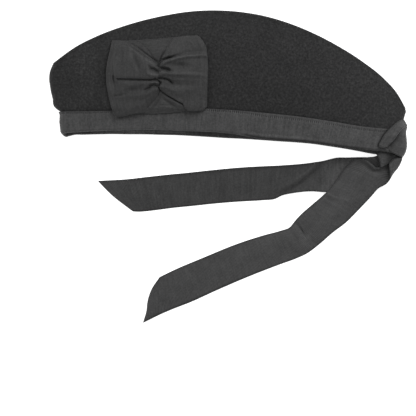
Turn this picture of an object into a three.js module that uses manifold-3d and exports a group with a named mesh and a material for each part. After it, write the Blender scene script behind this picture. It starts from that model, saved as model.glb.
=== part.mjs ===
// Glengarry cap, lying flat on its right side.
//
// Units are millimetres. +X runs along the cap from its front to its back, +Y from the rim
// to the crown's upper edge, and +Z is up, away from the surface the cap lies on.
// The cap is a folded envelope of milled wool: two side panels that meet in a crease at the
// front and at the back, a narrow top piece folded in between their upper edges, a ribbon
// binding round the rim, a ribbon cockade on the left side, and a knot with two tails.

import * as THREE from 'three';
import Module from 'manifold-3d';
import { mergeVertices } from 'three/addons/utils/BufferGeometryUtils.js';

const wasm = await Module();
wasm.setup();

// ---------------------------------------------------------------- driving dimensions
const WOOL = 2.2;            // thickness of the milled wool
const RIBBON = 1.0;          // thickness of a ribbon layer
const GAP = 0.3;             // clearance between neighbouring pieces
const CREASE_R = 6.2;        // outside radius of the folded front and back ends
const SEAM_H = 0.19;         // height parameter of the band's upper seam (0 rim, 1 top edge)
const BAND_LIFT = RIBBON + GAP;   // room for the band under the right side
const BAND_INNER = 0.075;    // height parameter that the band's inner leaf reaches
const SETTLE_H = 0.12;       // height over which the right side settles from band to surface
const SLOT_TOP = 5.4;        // opening between the two leaves of the top piece at its edges
const SLOT_FOLD = 1.2;       // and at its inward fold
const ORIGIN_SHIFT = [-0.07, -0.315, 0.0];   // puts the origin under the middle of the whole object

// Sections along the cap, from the front crease (u = 0) to the back crease (u = 1):
// the y of each guide line, and the depth of the top piece's inward fold.
const SECTIONS = [
  { u: 0.00, rimLeft: 30.6, rimRight: 30.6, seam: 48.5, top: 90.3 },
  { u: 0.02, rimLeft: 30.6, rimRight: 28.9, seam: 48.5, top: 95.6 },
  { u: 0.06, rimLeft: 30.6, rimRight: 28.5, seam: 48.5, top: 104.7 },
  { u: 0.12, rimLeft: 31.4, rimRight: 28.8, seam: 48.7, top: 114.4 },
  { u: 0.20, rimLeft: 33.0, rimRight: 29.0, seam: 49.7, top: 123.9 },
  { u: 0.30, rimLeft: 33.2, rimRight: 28.6, seam: 50.9, top: 132.2 },
  { u: 0.40, rimLeft: 31.3, rimRight: 27.4, seam: 51.1, top: 137.0 },
  { u: 0.50, rimLeft: 28.9, rimRight: 25.7, seam: 49.6, top: 137.3 },
  { u: 0.60, rimLeft: 25.6, rimRight: 23.8, seam: 47.0, top: 132.6 },
  { u: 0.70, rimLeft: 22.5, rimRight: 21.5, seam: 43.8, top: 122.6 },
  { u: 0.80, rimLeft: 19.1, rimRight: 18.1, seam: 39.4, top: 107.6 },
  { u: 0.88, rimLeft: 15.9, rimRight: 15.0, seam: 35.6, top: 91.9 },
  { u: 0.94, rimLeft: 13.5, rimRight: 12.8, seam: 33.9, top: 77.2 },
  { u: 0.98, rimLeft: 12.1, rimRight: 11.7, seam: 33.3, top: 63.2 },
  { u: 1.00, rimLeft: 11.4, rimRight: 11.4, seam: 33.1, top: 50.7 },
];

// Heights up the cap (h = 0 at the rim, 1 at the top edge): the x of the front and back
// creases, and the height of the upper side above the surface at mid length.
const HEIGHTS = [
  { h: 0.000, front: -148.0, back: 146.8, rise: 23.0 },
  { h: 0.190, front: -149.3, back: 152.1, rise: 25.5 },
  { h: 0.247, front: -151.8, back: 152.8, rise: 26.2 },
  { h: 0.417, front: -154.8, back: 153.7, rise: 27.6 },
  { h: 0.595, front: -156.6, back: 154.3, rise: 26.8 },
  { h: 0.757, front: -157.4, back: 154.9, rise: 23.6 },
  { h: 0.879, front: -156.8, back: 155.2, rise: 19.6 },
  { h: 1.000, front: -154.2, back: 154.7, rise: 15.2 },
];

// The top piece's inward fold: its depth below the top edge along the cap.
const TOP_FOLD = [
  { u: 0.026, depth: 5 },
  { u: 0.10, depth: 20 },
  { u: 0.25, depth: 37 },
  { u: 0.50, depth: 44 },
  { u: 0.75, depth: 36 },
  { u: 0.90, depth: 19 },
  { u: 0.974, depth: 5 },
];

// Cockade, upright back piece: sections from its lower to its upper end.
const COCKADE_BACK = [
  { y: 46.9, left: -76.0, right: -33.6 },
  { y: 58.0, left: -73.0, right: -40.0 },
  { y: 72.0, left: -66.0, right: -55.0 },
  { y: 86.0, left: -70.0, right: -52.0 },
  { y: 98.0, left: -82.0, right: -46.0 },
  { y: 109.4, left: -89.0, right: -42.0 },
];
const COCKADE_BACK_THICK = 1.4;

// Cockade, bow: sections from its left to its right end. seat is the clearance under it.
const COCKADE_BOW = [
  { x: -107.4, low: 68.0, high: 93.0, seat: 0.35, puff: 1.8 },
  { x: -104.5, low: 54.0, high: 106.5, seat: 0.4, puff: 2.8 },
  { x: -99.5, low: 44.2, high: 110.4, seat: 0.6, puff: 3.8 },
  { x: -88.0, low: 44.6, high: 108.2, seat: 2.4, puff: 5.2 },
  { x: -75.5, low: 48.2, high: 99.0, seat: 2.4, puff: 6.6 },
  { x: -66.5, low: 56.0, high: 92.4, seat: 2.4, puff: 7.4 },
  { x: -61.2, low: 68.5, high: 88.6, seat: 2.4, puff: 6.4 },
  { x: -55.5, low: 66.0, high: 99.0, seat: 2.4, puff: 7.4 },
  { x: -48.5, low: 61.2, high: 109.4, seat: 2.4, puff: 6.8 },
  { x: -38.0, low: 53.0, high: 113.6, seat: 2.4, puff: 5.6 },
  { x: -26.5, low: 48.6, high: 113.4, seat: 2.4, puff: 4.2 },
  { x: -20.0, low: 50.4, high: 104.0, seat: 1.2, puff: 3.0 },
  { x: -16.9, low: 62.0, high: 90.0, seat: 0.4, puff: 1.8 },
];

// Ribbon round the back end: rows from the surface behind the cap, over the crease, down
// to the knot. Each row gives its upper-left, middle and lower-right points.
const KNOT_WRAP = [
  { ax: 153.4, ay: 41.0, az: 2.2, mx: 154.6, my: 27.0, mz: 2.2, bx: 151.6, by: 11.5, bz: 2.2 },
  { ax: 154.6, ay: 40.6, az: 6.0, mx: 155.9, my: 26.0, mz: 7.0, bx: 154.2, by: 11.0, bz: 7.0 },
  { ax: 154.2, ay: 41.5, az: 12.0, mx: 155.7, my: 24.0, mz: 13.0, bx: 154.6, by: 10.4, bz: 12.4 },
  { ax: 149.5, ay: 40.4, az: 16.6, mx: 152.0, my: 25.0, mz: 18.0, bx: 153.2, by: 9.8, bz: 15.4 },
  { ax: 141.4, ay: 33.9, az: 18.0, mx: 145.0, my: 21.5, mz: 18.6, bx: 151.8, by: 9.0, bz: 15.4 },
  { ax: 131.6, ay: 18.8, az: 15.8, mx: 139.6, my: 14.6, mz: 16.6, bx: 151.2, by: 8.4, bz: 13.2 },
];

// Knot core: outline levels from the surface up.
const KNOT_CORE = [
  { z: 0.6, scale: 0.86 },
  { z: 3.5, scale: 1.00 },
  { z: 11.0, scale: 1.00 },
  { z: 15.5, scale: 0.80 },
];
const KNOT_CORE_OUTLINE = [
  { x: 129.0, y: 12.6 },
  { x: 140.8, y: 13.2 },
  { x: 150.8, y: 6.4 },
  { x: 149.6, y: 2.6 },
  { x: 141.4, y: 1.4 },
  { x: 135.0, y: -1.2 },
  { x: 128.4, y: -1.0 },
  { x: 122.6, y: 5.2 },
];

// Tails: rows of their two edges, from the knot to the cut end.
const TAIL_LOWER = [
  { ax: 121.4, ay: 4.4, az: 8.0, bx: 150.6, by: 1.4, bz: 9.0 },
  { ax: 112.0, ay: 5.6, az: 6.4, bx: 143.0, by: -9.6, bz: 8.2 },
  { ax: 106.4, ay: 0.4, az: 4.4, bx: 130.0, by: -19.0, bz: 4.6 },
  { ax: 90.8, ay: -18.4, az: 2.2, bx: 113.6, by: -36.6, bz: 1.0 },
  { ax: 78.4, ay: -29.8, az: 0.9, bx: 98.6, by: -52.2, bz: 0.0 },
  { ax: 63.6, ay: -42.4, az: 0.0, bx: 80.8, by: -68.4, bz: 0.0 },
  { ax: 55.4, ay: -51.4, az: 0.0, bx: 66.8, by: -77.2, bz: 0.0 },
  { ax: 35.6, ay: -59.0, az: 0.0, bx: 46.8, by: -85.0, bz: 0.0 },
  { ax: -7.2, ay: -73.8, az: 0.0, bx: 4.2, by: -102.2, bz: 0.0 },
  { ax: -49.5, ay: -91.8, az: 0.0, bx: -38.0, by: -120.5, bz: 0.0 },
  { ax: -59.8, ay: -97.2, az: 0.0, bx: -75.0, by: -137.1, bz: 0.0 },
];
const TAIL_UPPER = [
  { ax: 127.0, ay: 8.8, az: 4.6, bx: 126.0, by: -3.0, bz: 4.6 },
  { ax: 111.2, ay: 8.8, az: 1.2, bx: 109.4, by: -13.0, bz: 1.2 },
  { ax: 97.0, ay: 8.2, az: 0.0, bx: 94.0, by: -19.6, bz: 0.0 },
  { ax: 80.8, ay: 4.7, az: 0.0, bx: 77.0, by: -22.0, bz: 0.0 },
  { ax: 64.2, ay: 2.6, az: 0.0, bx: 60.0, by: -24.0, bz: 0.0 },
  { ax: 42.1, ay: 1.2, az: 0.0, bx: 37.8, by: -28.6, bz: 0.0 },
  { ax: 10.4, ay: -0.6, az: 0.0, bx: 13.0, by: -29.8, bz: 0.0 },
  { ax: -24.8, ay: -4.5, az: 0.0, bx: -20.4, by: -33.0, bz: 0.0 },
  { ax: -58.3, ay: -8.1, az: 0.0, bx: -46.4, by: -35.5, bz: 0.0 },
  { ax: -81.8, ay: -11.0, az: 0.0, bx: -66.0, by: -38.2, bz: 0.0 },
  { ax: -112.9, ay: -13.6, az: 0.0, bx: -78.6, by: -39.2, bz: 0.0 },
];

// ---------------------------------------------------------------- interpolation
// Cubic Hermite through the rows of a table, with tangents from neighbouring rows.
function spline(rows, key, value) {
  const xs = rows.map((r) => r[key]);
  const ys = rows.map((r) => r[value]);
  const n = xs.length;
  const slope = xs.map((_, i) => {
    if (i === 0) return (ys[1] - ys[0]) / (xs[1] - xs[0]);
    if (i === n - 1) return (ys[n - 1] - ys[n - 2]) / (xs[n - 1] - xs[n - 2]);
    const d0 = (ys[i] - ys[i - 1]) / (xs[i] - xs[i - 1]);
    const d1 = (ys[i + 1] - ys[i]) / (xs[i + 1] - xs[i]);
    const w0 = xs[i + 1] - xs[i];
    const w1 = xs[i] - xs[i - 1];
    return (d0 * w0 + d1 * w1) / (w0 + w1);
  });
  return (x) => {
    const t = Math.min(Math.max(x, xs[0]), xs[n - 1]);
    let i = 0;
    while (i < n - 2 && t > xs[i + 1]) i += 1;
    const w = xs[i + 1] - xs[i];
    const s = (t - xs[i]) / w;
    const s2 = s * s;
    const s3 = s2 * s;
    return (2 * s3 - 3 * s2 + 1) * ys[i] + (s3 - 2 * s2 + s) * w * slope[i]
      + (-2 * s3 + 3 * s2) * ys[i + 1] + (s3 - s2) * w * slope[i + 1];
  };
}

const mix = (a, b, t) => a + (b - a) * t;
const smooth = (t) => { const c = Math.min(Math.max(t, 0), 1); return c * c * (3 - 2 * c); };

const rimLeft = spline(SECTIONS, 'u', 'rimLeft');
const rimRight = spline(SECTIONS, 'u', 'rimRight');
const seamLine = spline(SECTIONS, 'u', 'seam');
const topLine = spline(SECTIONS, 'u', 'top');
const frontX = spline(HEIGHTS, 'h', 'front');
const backX = spline(HEIGHTS, 'h', 'back');
const riseOf = spline(HEIGHTS, 'h', 'rise');
const foldDepth = spline(TOP_FOLD, 'u', 'depth');

// ---------------------------------------------------------------- the cap's outer surface
// y of a point at fraction u of the length and height h, on the left (+1) or right (-1) side.
function sideY(side, u, h) {
  const rim = side > 0 ? rimLeft(u) : rimRight(u);
  if (h < SEAM_H) return mix(rim, seamLine(u), h / SEAM_H);
  return mix(seamLine(u), topLine(u), (h - SEAM_H) / (1 - SEAM_H));
}

// A lens that is nought at both creases and one at mid length.
const lens = (u) => Math.pow(Math.max(4 * u * (1 - u), 0), 0.85);

// Position along the closed loop at height h: a runs 0..3 over the left side from the front
// crease to the back crease, and 3..6 back over the right side. The first and last third of
// each side is the quarter turn at its crease.
function loopPoint(a, h) {
  const t = ((a % 6) + 6) % 6;
  const side = t < 3 ? 1 : -1;
  const s = t < 3 ? t : 6 - t;                 // 0..3 from front to back on either side
  const x0 = frontX(h);
  const x1 = backX(h);
  let x;
  let turn;
  if (s < 1) {
    x = x0 + CREASE_R * (1 - Math.cos(s * Math.PI / 2));
    turn = Math.sin(s * Math.PI / 2);
  } else if (s <= 2) {
    x = mix(x0 + CREASE_R, x1 - CREASE_R, s - 1);
    turn = 1;
  } else {
    x = x1 - CREASE_R * (1 - Math.cos((3 - s) * Math.PI / 2));
    turn = Math.sin((3 - s) * Math.PI / 2);
  }
  const u = (x - x0) / (x1 - x0);
  let z;
  if (side > 0) {
    z = CREASE_R + CREASE_R * turn + (riseOf(h) - 2 * CREASE_R) * lens(u);
  } else {
    const lift = BAND_LIFT * (1 - smooth((h - SEAM_H) / SETTLE_H));
    z = CREASE_R - (CREASE_R - lift) * turn;
  }
  return new THREE.Vector3(x, sideY(side, u, h), z);
}

// The same point moved off along the outward normal.
function offsetPoint(a, h, off) {
  const p = loopPoint(a, h);
  if (off === 0) return p;
  const e = 1e-3;
  const h0 = Math.max(h - e, 0);
  const h1 = Math.min(h + e, 1);
  const along = loopPoint(a + e, h).sub(loopPoint(a - e, h));
  const up = loopPoint(a, h1).sub(loopPoint(a, h0));
  return p.addScaledVector(along.cross(up).normalize(), off);
}

// ---------------------------------------------------------------- mesh helpers
// Closed mesh from quads and triangles of vertex numbers, turned to face outwards.
function solidGeometry(vertices, faces) {
  const index = [];
  for (const f of faces) for (let i = 1; i < f.length - 1; i += 1) index.push(f[0], f[i], f[i + 1]);
  let volume = 0;
  const a = new THREE.Vector3();
  for (let i = 0; i < index.length; i += 3) {
    a.copy(vertices[index[i + 1]]).cross(vertices[index[i + 2]]);
    volume += vertices[index[i]].dot(a);
  }
  if (volume < 0) for (let i = 0; i < index.length; i += 3) [index[i], index[i + 1]] = [index[i + 1], index[i]];
  const geometry = new THREE.BufferGeometry();
  geometry.setAttribute('position', new THREE.Float32BufferAttribute(vertices.flatMap((v) => [v.x, v.y, v.z]), 3));
  geometry.setIndex(index);
  return geometry;
}

// Thick sheet between two grids of points with the same rows and columns.
function sheetSolid(outer, inner) {
  const rows = outer.length;
  const cols = outer[0].length;
  const vertices = [...outer.flat(), ...inner.flat()];
  const o = (i, j) => i * cols + j;
  const n = (i, j) => rows * cols + i * cols + j;
  const faces = [];
  for (let i = 0; i < rows - 1; i += 1) {
    for (let j = 0; j < cols - 1; j += 1) {
      faces.push([o(i, j), o(i, j + 1), o(i + 1, j + 1), o(i + 1, j)]);
      faces.push([n(i, j), n(i + 1, j), n(i + 1, j + 1), n(i, j + 1)]);
    }
  }
  for (let j = 0; j < cols - 1; j += 1) {
    faces.push([o(0, j), n(0, j), n(0, j + 1), o(0, j + 1)]);
    faces.push([o(rows - 1, j + 1), n(rows - 1, j + 1), n(rows - 1, j), o(rows - 1, j)]);
  }
  for (let i = 0; i < rows - 1; i += 1) {
    faces.push([o(i + 1, 0), n(i + 1, 0), n(i, 0), o(i, 0)]);
    faces.push([o(i, cols - 1), n(i, cols - 1), n(i + 1, cols - 1), o(i + 1, cols - 1)]);
  }
  return solidGeometry(vertices, faces);
}

// Solid through closed sections with the same number of points, open ended or a ring.
function loftSolid(sections, ring = false) {
  const m = sections[0].length;
  const n = sections.length;
  const faces = [];
  for (let i = 0; i < (ring ? n : n - 1); i += 1) {
    const k = (i + 1) % n;
    for (let j = 0; j < m; j += 1) {
      const l = (j + 1) % m;
      faces.push([i * m + j, i * m + l, k * m + l, k * m + j]);
    }
  }
  if (!ring) {
    faces.push([...Array(m).keys()].reverse());
    faces.push([...Array(m).keys()].map((j) => (n - 1) * m + j));
  }
  return solidGeometry(sections.flat(), faces);
}

const steps = (from, to, n) => Array.from({ length: n + 1 }, (_, i) => mix(from, to, i / n));

// Stations over one side, first..last on the loop parameter, with a small gap at each crease.
function sideStations(start, ends, middle) {
  const e = Math.asin(GAP / 2 / (CREASE_R - BAND_LIFT - WOOL)) / (Math.PI / 2);
  return [
    ...steps(start + e, start + 1, ends),
    ...steps(start + 1, start + 2, middle).slice(1),
    ...steps(start + 2, start + 3 - e, ends).slice(1),
  ];
}

// ---------------------------------------------------------------- wool panels
const END_STEPS = 4;
const MID_STEPS = 30;
const ROWS = [0, SEAM_H / 2, SEAM_H, 0.25, 0.31, 0.42, 0.55, 0.68, 0.8, 0.91, 1];

function sidePanel(start) {
  const stations = sideStations(start, END_STEPS, MID_STEPS);
  const outer = ROWS.map((h) => stations.map((a) => offsetPoint(a, h, 0)));
  const inner = ROWS.map((h) => stations.map((a) => offsetPoint(a, h, -WOOL)));
  return sheetSolid(outer, inner);
}

// Top piece: a V-shaped section hanging from the two top edges, folded inward.
function topPiece() {
  const sections = [];
  for (const u of steps(TOP_FOLD[0].u, TOP_FOLD[TOP_FOLD.length - 1].u, 30)) {
    const x = mix(frontX(1), backX(1), u);
    const topY = topLine(u);
    const dropX = mix(frontX(0.6), backX(0.6), u) - x;
    const dropY = mix(seamLine(u), topLine(u), (0.6 - SEAM_H) / (1 - SEAM_H)) - topY;
    const len = Math.hypot(dropX, dropY);
    const d = foldDepth(u);
    const at = (depth, z) => new THREE.Vector3(x + dropX / len * depth, topY + dropY / len * depth, z);
    const upper = CREASE_R * 2 + (riseOf(1) - 2 * CREASE_R) * lens(u) - WOOL - GAP - 0.15;
    const lower = WOOL + GAP;
    const mid = (upper + lower) / 2;
    const leaf = WOOL * 0.82;
    sections.push([
      at(0, upper), at(d * 0.5, mix(upper, mid + leaf + SLOT_FOLD / 2, 0.5)),
      at(d, mid + leaf * 0.8 + SLOT_FOLD / 2), at(d + leaf, mid), at(d, mid - leaf * 0.8 - SLOT_FOLD / 2),
      at(d * 0.5, mix(lower, mid - leaf - SLOT_FOLD / 2, 0.5)), at(0, lower),
      at(0, lower + leaf), at(d * 0.5, mix(lower + leaf, mid - SLOT_FOLD / 2, 0.5)),
      at(d - leaf * 0.4, mid - SLOT_FOLD / 2), at(d - leaf * 0.4, mid + SLOT_FOLD / 2),
      at(d * 0.5, mix(upper - leaf, mid + SLOT_FOLD / 2, 0.5)), at(0, upper - leaf),
    ]);
  }
  return loftSolid(sections);
}

// ---------------------------------------------------------------- rim binding
function rimBinding() {
  const stations = [];
  for (const start of [0, 3]) {
    stations.push(
      ...steps(start, start + 1, END_STEPS),
      ...steps(start + 1, start + 2, MID_STEPS).slice(1),
      ...steps(start + 2, start + 3, END_STEPS).slice(1, -1),
    );
  }
  const out = GAP + RIBBON;
  const section = (a) => [
    offsetPoint(a, SEAM_H, GAP), offsetPoint(a, SEAM_H, out), offsetPoint(a, SEAM_H / 2, out),
    offsetPoint(a, 0, out).add(new THREE.Vector3(0, -out, 0)),
    offsetPoint(a, 0, -WOOL - out).add(new THREE.Vector3(0, -out, 0)),
    offsetPoint(a, BAND_INNER, -WOOL - out), offsetPoint(a, BAND_INNER, -WOOL - GAP),
    offsetPoint(a, 0, -WOOL - GAP).add(new THREE.Vector3(0, -GAP, 0)),
    offsetPoint(a, 0, GAP).add(new THREE.Vector3(0, -GAP, 0)),
    offsetPoint(a, SEAM_H / 2, GAP),
  ];
  return loftSolid(stations.map(section), true);
}

// ---------------------------------------------------------------- cockade
// Height of the left side's outer surface, or of the band where that covers it, above the
// surface the cap lies on.
function leftHeight(x, y) {
  let lo = 0;
  let hi = 1;
  for (let i = 0; i < 30; i += 1) {
    const h = (lo + hi) / 2;
    const u = (x - frontX(h)) / (backX(h) - frontX(h));
    if (sideY(1, u, h) < y) lo = h; else hi = h;
  }
  const h = (lo + hi) / 2;
  const x0 = frontX(h);
  const x1 = backX(h);
  const u = (x - x0) / (x1 - x0);
  const xi = Math.min(x - x0, x1 - x, CREASE_R);
  const turn = Math.sqrt(Math.max(1 - (1 - xi / CREASE_R) ** 2, 0));
  const outside = (GAP + RIBBON) * smooth((seamLine(u) + 5 - y) / 4);
  return CREASE_R + CREASE_R * turn + (riseOf(h) - 2 * CREASE_R) * lens(u) + outside;
}

function cockadeBack() {
  const left = spline(COCKADE_BACK, 'y', 'left');
  const right = spline(COCKADE_BACK, 'y', 'right');
  const low = COCKADE_BACK[0].y;
  const high = COCKADE_BACK[COCKADE_BACK.length - 1].y;
  const grid = (lift) => steps(low, high, 14).map((y) => steps(0, 1, 8).map((t) => {
    const x = mix(left(y), right(y), t);
    return new THREE.Vector3(x, y, leftHeight(x, y) + 0.4 + lift);
  }));
  return sheetSolid(grid(COCKADE_BACK_THICK), grid(0));
}

function cockadeBow() {
  const f = Object.fromEntries(['low', 'high', 'seat', 'puff'].map((k) => [k, spline(COCKADE_BOW, 'x', k)]));
  const xs = [];
  COCKADE_BOW.forEach((r, i) => { if (i) xs.push(...steps(COCKADE_BOW[i - 1].x, r.x, 2).slice(1)); else xs.push(r.x); });
  const grid = (top) => xs.map((x) => steps(0, 1, 18).map((t) => {
    const y = mix(f.low(x), f.high(x), t);
    const crown = Math.pow(Math.sin(Math.PI * t), 0.7);
    return new THREE.Vector3(x, y, leftHeight(x, y) + f.seat(x) + (top ? 0.9 + (f.puff(x) - 0.9) * crown : 0));
  }));
  return sheetSolid(grid(true), grid(false));
}

// ---------------------------------------------------------------- ribbons and knot
// Ribbon through rows of points across it; each row holds its points' prefixes.
function ribbonSolid(rows, prefixes, thick, perRow, across) {
  const keyed = rows.map((r, i) => ({ ...r, i }));
  const f = prefixes.map((p) => ['x', 'y', 'z'].map((c) => spline(keyed, 'i', p + c)));
  const point = (i, t) => {
    const pts = f.map(([fx, fy, fz]) => new THREE.Vector3(fx(i), fy(i), fz(i)));
    if (pts.length === 2) return pts[0].lerp(pts[1], t);
    const s = t * 2;                           // quadratic through three points
    return pts[0].multiplyScalar((1 - s) * (2 - s) / 2)
      .addScaledVector(pts[1], s * (2 - s)).addScaledVector(pts[2], s * (s - 1) / 2);
  };
  const is = steps(0, rows.length - 1, (rows.length - 1) * perRow);
  const ts = steps(0, 1, across);
  const base = is.map((i) => ts.map((t) => point(i, t)));
  const up = is.map((i) => ts.map((t) => {
    const e = 1e-3;
    const di = point(Math.min(i + e, rows.length - 1), t).sub(point(Math.max(i - e, 0), t));
    const dt = point(i, Math.min(t + e, 1)).sub(point(i, Math.max(t - e, 0)));
    const n = di.cross(dt).normalize();
    return point(i, t).addScaledVector(n, thick);
  }));
  return sheetSolid(up, base);
}

// Tails lie with their lower face on the surface and their upper face straight above it.
function tailSolid(rows) {
  const keyed = rows.map((r, i) => ({ ...r, i }));
  const f = Object.fromEntries(['ax', 'ay', 'az', 'bx', 'by', 'bz'].map((k) => [k, spline(keyed, 'i', k)]));
  const grid = (lift) => steps(0, rows.length - 1, (rows.length - 1) * 3).map((i) => steps(0, 1, 3).map((t) => new THREE.Vector3(
    mix(f.ax(i), f.bx(i), t), mix(f.ay(i), f.by(i), t), Math.max(mix(f.az(i), f.bz(i), t), 0) + lift)));
  return sheetSolid(grid(RIBBON), grid(0));
}

// The knot's lump, or the same grown by a clearance on every side.
function knotCore(grow = 0) {
  const cx = KNOT_CORE_OUTLINE.reduce((s, p) => s + p.x, 0) / KNOT_CORE_OUTLINE.length;
  const cy = KNOT_CORE_OUTLINE.reduce((s, p) => s + p.y, 0) / KNOT_CORE_OUTLINE.length;
  const last = KNOT_CORE.length - 1;
  return loftSolid(KNOT_CORE.map((l, i) => KNOT_CORE_OUTLINE.map((p) => {
    const size = l.scale * (1 + grow * 1.6 / Math.hypot(p.x - cx, p.y - cy));
    const z = l.z + (i === last ? grow : 0) - (i === 0 ? grow : 0);
    return new THREE.Vector3(mix(cx, p.x, size), mix(cy, p.y, size), z);
  })));
}

// ---------------------------------------------------------------- joining and cutting
function toManifold(geometry) {
  const g = geometry.clone();
  g.deleteAttribute('normal');
  g.deleteAttribute('uv');
  const m = mergeVertices(g, 1e-4);
  return new wasm.Manifold(new wasm.Mesh({
    numProp: 3,
    vertProperties: new Float32Array(m.attributes.position.array),
    triVerts: new Uint32Array(m.index.array),
  }));
}

function fromManifold(manifold) {
  const mesh = manifold.getMesh();
  const g = new THREE.BufferGeometry();
  const n = mesh.numProp;
  const positions = new Float32Array(mesh.vertProperties.length / n * 3);
  for (let i = 0; i < positions.length / 3; i += 1) {
    for (let c = 0; c < 3; c += 1) positions[i * 3 + c] = mesh.vertProperties[i * n + c];
  }
  g.setAttribute('position', new THREE.BufferAttribute(positions, 3));
  g.setIndex(new THREE.BufferAttribute(new Uint32Array(mesh.triVerts), 1));
  return g;
}

// Solid that the banded back end of the cap fills, grown by its clearance.
function backEnvelope() {
  const off = GAP + RIBBON + GAP + 0.2;
  const stations = [...steps(1.7, 2, 8), ...steps(2, 2.98, END_STEPS * 2).slice(1)];
  const grid = (side) => ROWS.slice(0, 8).map((h, i) => stations.map((s) => offsetPoint(side > 0 ? s : 6 - s, h, off)
    .add(new THREE.Vector3(0, i ? 0 : -off, 0))));
  return toManifold(sheetSolid(grid(1), grid(-1)));
}

function cut(geometry, ...tools) {
  let m = toManifold(geometry);
  for (const t of tools) m = m.subtract(t);
  return fromManifold(m);
}

const envelope = backEnvelope();
const coreSpace = toManifold(knotCore(GAP));

// ---------------------------------------------------------------- the cap
const wool = { color: 0x2f2f2f, roughness: 0.95, metalness: 0 };
const grosgrain = { color: 0x454545, roughness: 0.75, metalness: 0 };

const cap = new THREE.Group();
function add(name, geometry, look) {
  const mesh = new THREE.Mesh(geometry, new THREE.MeshStandardMaterial(look));
  mesh.name = name;
  cap.add(mesh);
}

add('left_side', sidePanel(0), wool);
add('right_side', sidePanel(3), wool);
add('crown_top', topPiece(), wool);
add('band', rimBinding(), grosgrain);
add('cockade_back', cockadeBack(), grosgrain);
add('cockade_bow', cockadeBow(), grosgrain);
add('knot_wrap', cut(ribbonSolid(KNOT_WRAP, ['a', 'm', 'b'], 1.4, 3, 6), envelope, coreSpace), grosgrain);
add('knot_core', cut(knotCore(), envelope), grosgrain);
add('tail_upper', cut(tailSolid(TAIL_UPPER), envelope, coreSpace), grosgrain);
add('tail_lower', cut(tailSolid(TAIL_LOWER), envelope, coreSpace), grosgrain);
cap.position.set(...ORIGIN_SHIFT);

export default cap;
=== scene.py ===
# Glengarry cap lying flat on its right side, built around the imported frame.
# Lengths in the tables are millimetres in the cap's own axes: x from front to back, y from the
# rim to the crown's top edge, z up from the surface it lies on.
import math
import bpy
import numpy as np
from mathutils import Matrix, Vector


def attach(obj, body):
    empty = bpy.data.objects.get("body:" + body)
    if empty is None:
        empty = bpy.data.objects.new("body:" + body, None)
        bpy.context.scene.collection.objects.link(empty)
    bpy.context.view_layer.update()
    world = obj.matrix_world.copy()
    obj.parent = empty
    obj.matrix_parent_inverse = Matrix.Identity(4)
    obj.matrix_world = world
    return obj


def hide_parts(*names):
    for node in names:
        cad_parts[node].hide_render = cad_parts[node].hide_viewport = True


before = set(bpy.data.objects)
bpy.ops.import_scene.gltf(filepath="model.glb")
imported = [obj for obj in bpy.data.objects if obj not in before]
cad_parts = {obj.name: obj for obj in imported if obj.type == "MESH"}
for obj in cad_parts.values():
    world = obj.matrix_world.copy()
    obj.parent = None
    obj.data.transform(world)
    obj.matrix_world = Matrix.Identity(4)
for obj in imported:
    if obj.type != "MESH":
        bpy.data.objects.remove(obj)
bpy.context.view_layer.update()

# ------------------------------------------------------------------ driving dimensions
WOOL = 2.2
RIBBON = 1.0
GAP = 0.3
CREASE_R = 6.2
SEAM_H = 0.19
BAND_LIFT = RIBBON + GAP
BAND_INNER = 0.075
SETTLE_H = 0.12
SHIFT = np.array([-0.07, -0.315, 0.0])
RIB = 1.1                 # pitch of the grosgrain's ribs
RIB_RISE = 0.075          # height of a rib above the mean surface
PAINTED_EDGE_SHADE = 0.58           # how dark the painted shade along a ribbon's edge is

RIM_LEFT = [(0.00, 30.2), (0.02, 31.0), (0.06, 31.7), (0.12, 32.7), (0.19, 33.1), (0.266, 33.4), (0.356, 32.7),
            (0.4155, 31.9), (0.4755, 31.0), (0.535, 28.9), (0.57, 26.8), (0.60, 25.5), (0.655, 24.1), (0.703, 23.1),
            (0.75, 21.9), (0.80, 19.9), (0.846, 17.9), (0.894, 16.3), (0.94, 15.1), (0.98, 13.6), (1.00, 12.4)]
RIM_RIGHT = [(0.00, 30.2), (0.008, 27.6), (0.020, 28.0), (0.038, 29.2), (0.06, 29.3), (0.105, 29.6), (0.153, 29.85),
             (0.20, 29.65), (0.25, 29.6), (0.30, 29.2), (0.343, 28.9), (0.39, 28.2), (0.44, 27.3), (0.488, 26.4),
             (0.54, 25.7), (0.588, 24.8), (0.655, 23.4), (0.703, 22.5), (0.75, 21.3), (0.80, 19.2), (0.846, 17.1),
             (0.894, 14.6), (0.92, 13.1), (0.94, 12.1), (0.98, 11.4), (1.00, 12.0)]
SECTIONS = [
    dict(u=0.00, seam=48.5, top=90.3),
    dict(u=0.02, seam=48.5, top=95.4),
    dict(u=0.06, seam=48.5, top=104.5),
    dict(u=0.12, seam=48.7, top=114.2),
    dict(u=0.20, seam=49.7, top=123.6),
    dict(u=0.30, seam=50.9, top=131.9),
    dict(u=0.40, seam=51.1, top=136.8),
    dict(u=0.50, seam=49.6, top=137.0),
    dict(u=0.60, seam=47.0, top=132.5),
    dict(u=0.70, seam=43.8, top=122.6),
    dict(u=0.80, seam=39.4, top=107.6),
    dict(u=0.88, seam=35.4, top=92.0),
    dict(u=0.94, seam=33.4, top=77.0),
    dict(u=0.98, seam=32.6, top=62.4),
    dict(u=1.00, seam=32.2, top=50.8),
]
HEIGHTS = [
    dict(h=0.000, front=-146.2, back=146.8, rise=23.0),
    dict(h=0.090, front=-147.4, back=149.4, rise=24.2),
    dict(h=0.190, front=-148.3, back=152.1, rise=25.5),
    dict(h=0.215, front=-150.4, back=152.5, rise=25.8),
    dict(h=0.247, front=-152.4, back=153.5, rise=26.2),
    dict(h=0.417, front=-155.0, back=154.6, rise=27.6),
    dict(h=0.595, front=-156.8, back=154.8, rise=26.8),
    dict(h=0.757, front=-157.8, back=155.8, rise=23.6),
    dict(h=0.879, front=-157.1, back=156.7, rise=19.6),
    dict(h=1.000, front=-154.2, back=156.0, rise=15.2),
]
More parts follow.
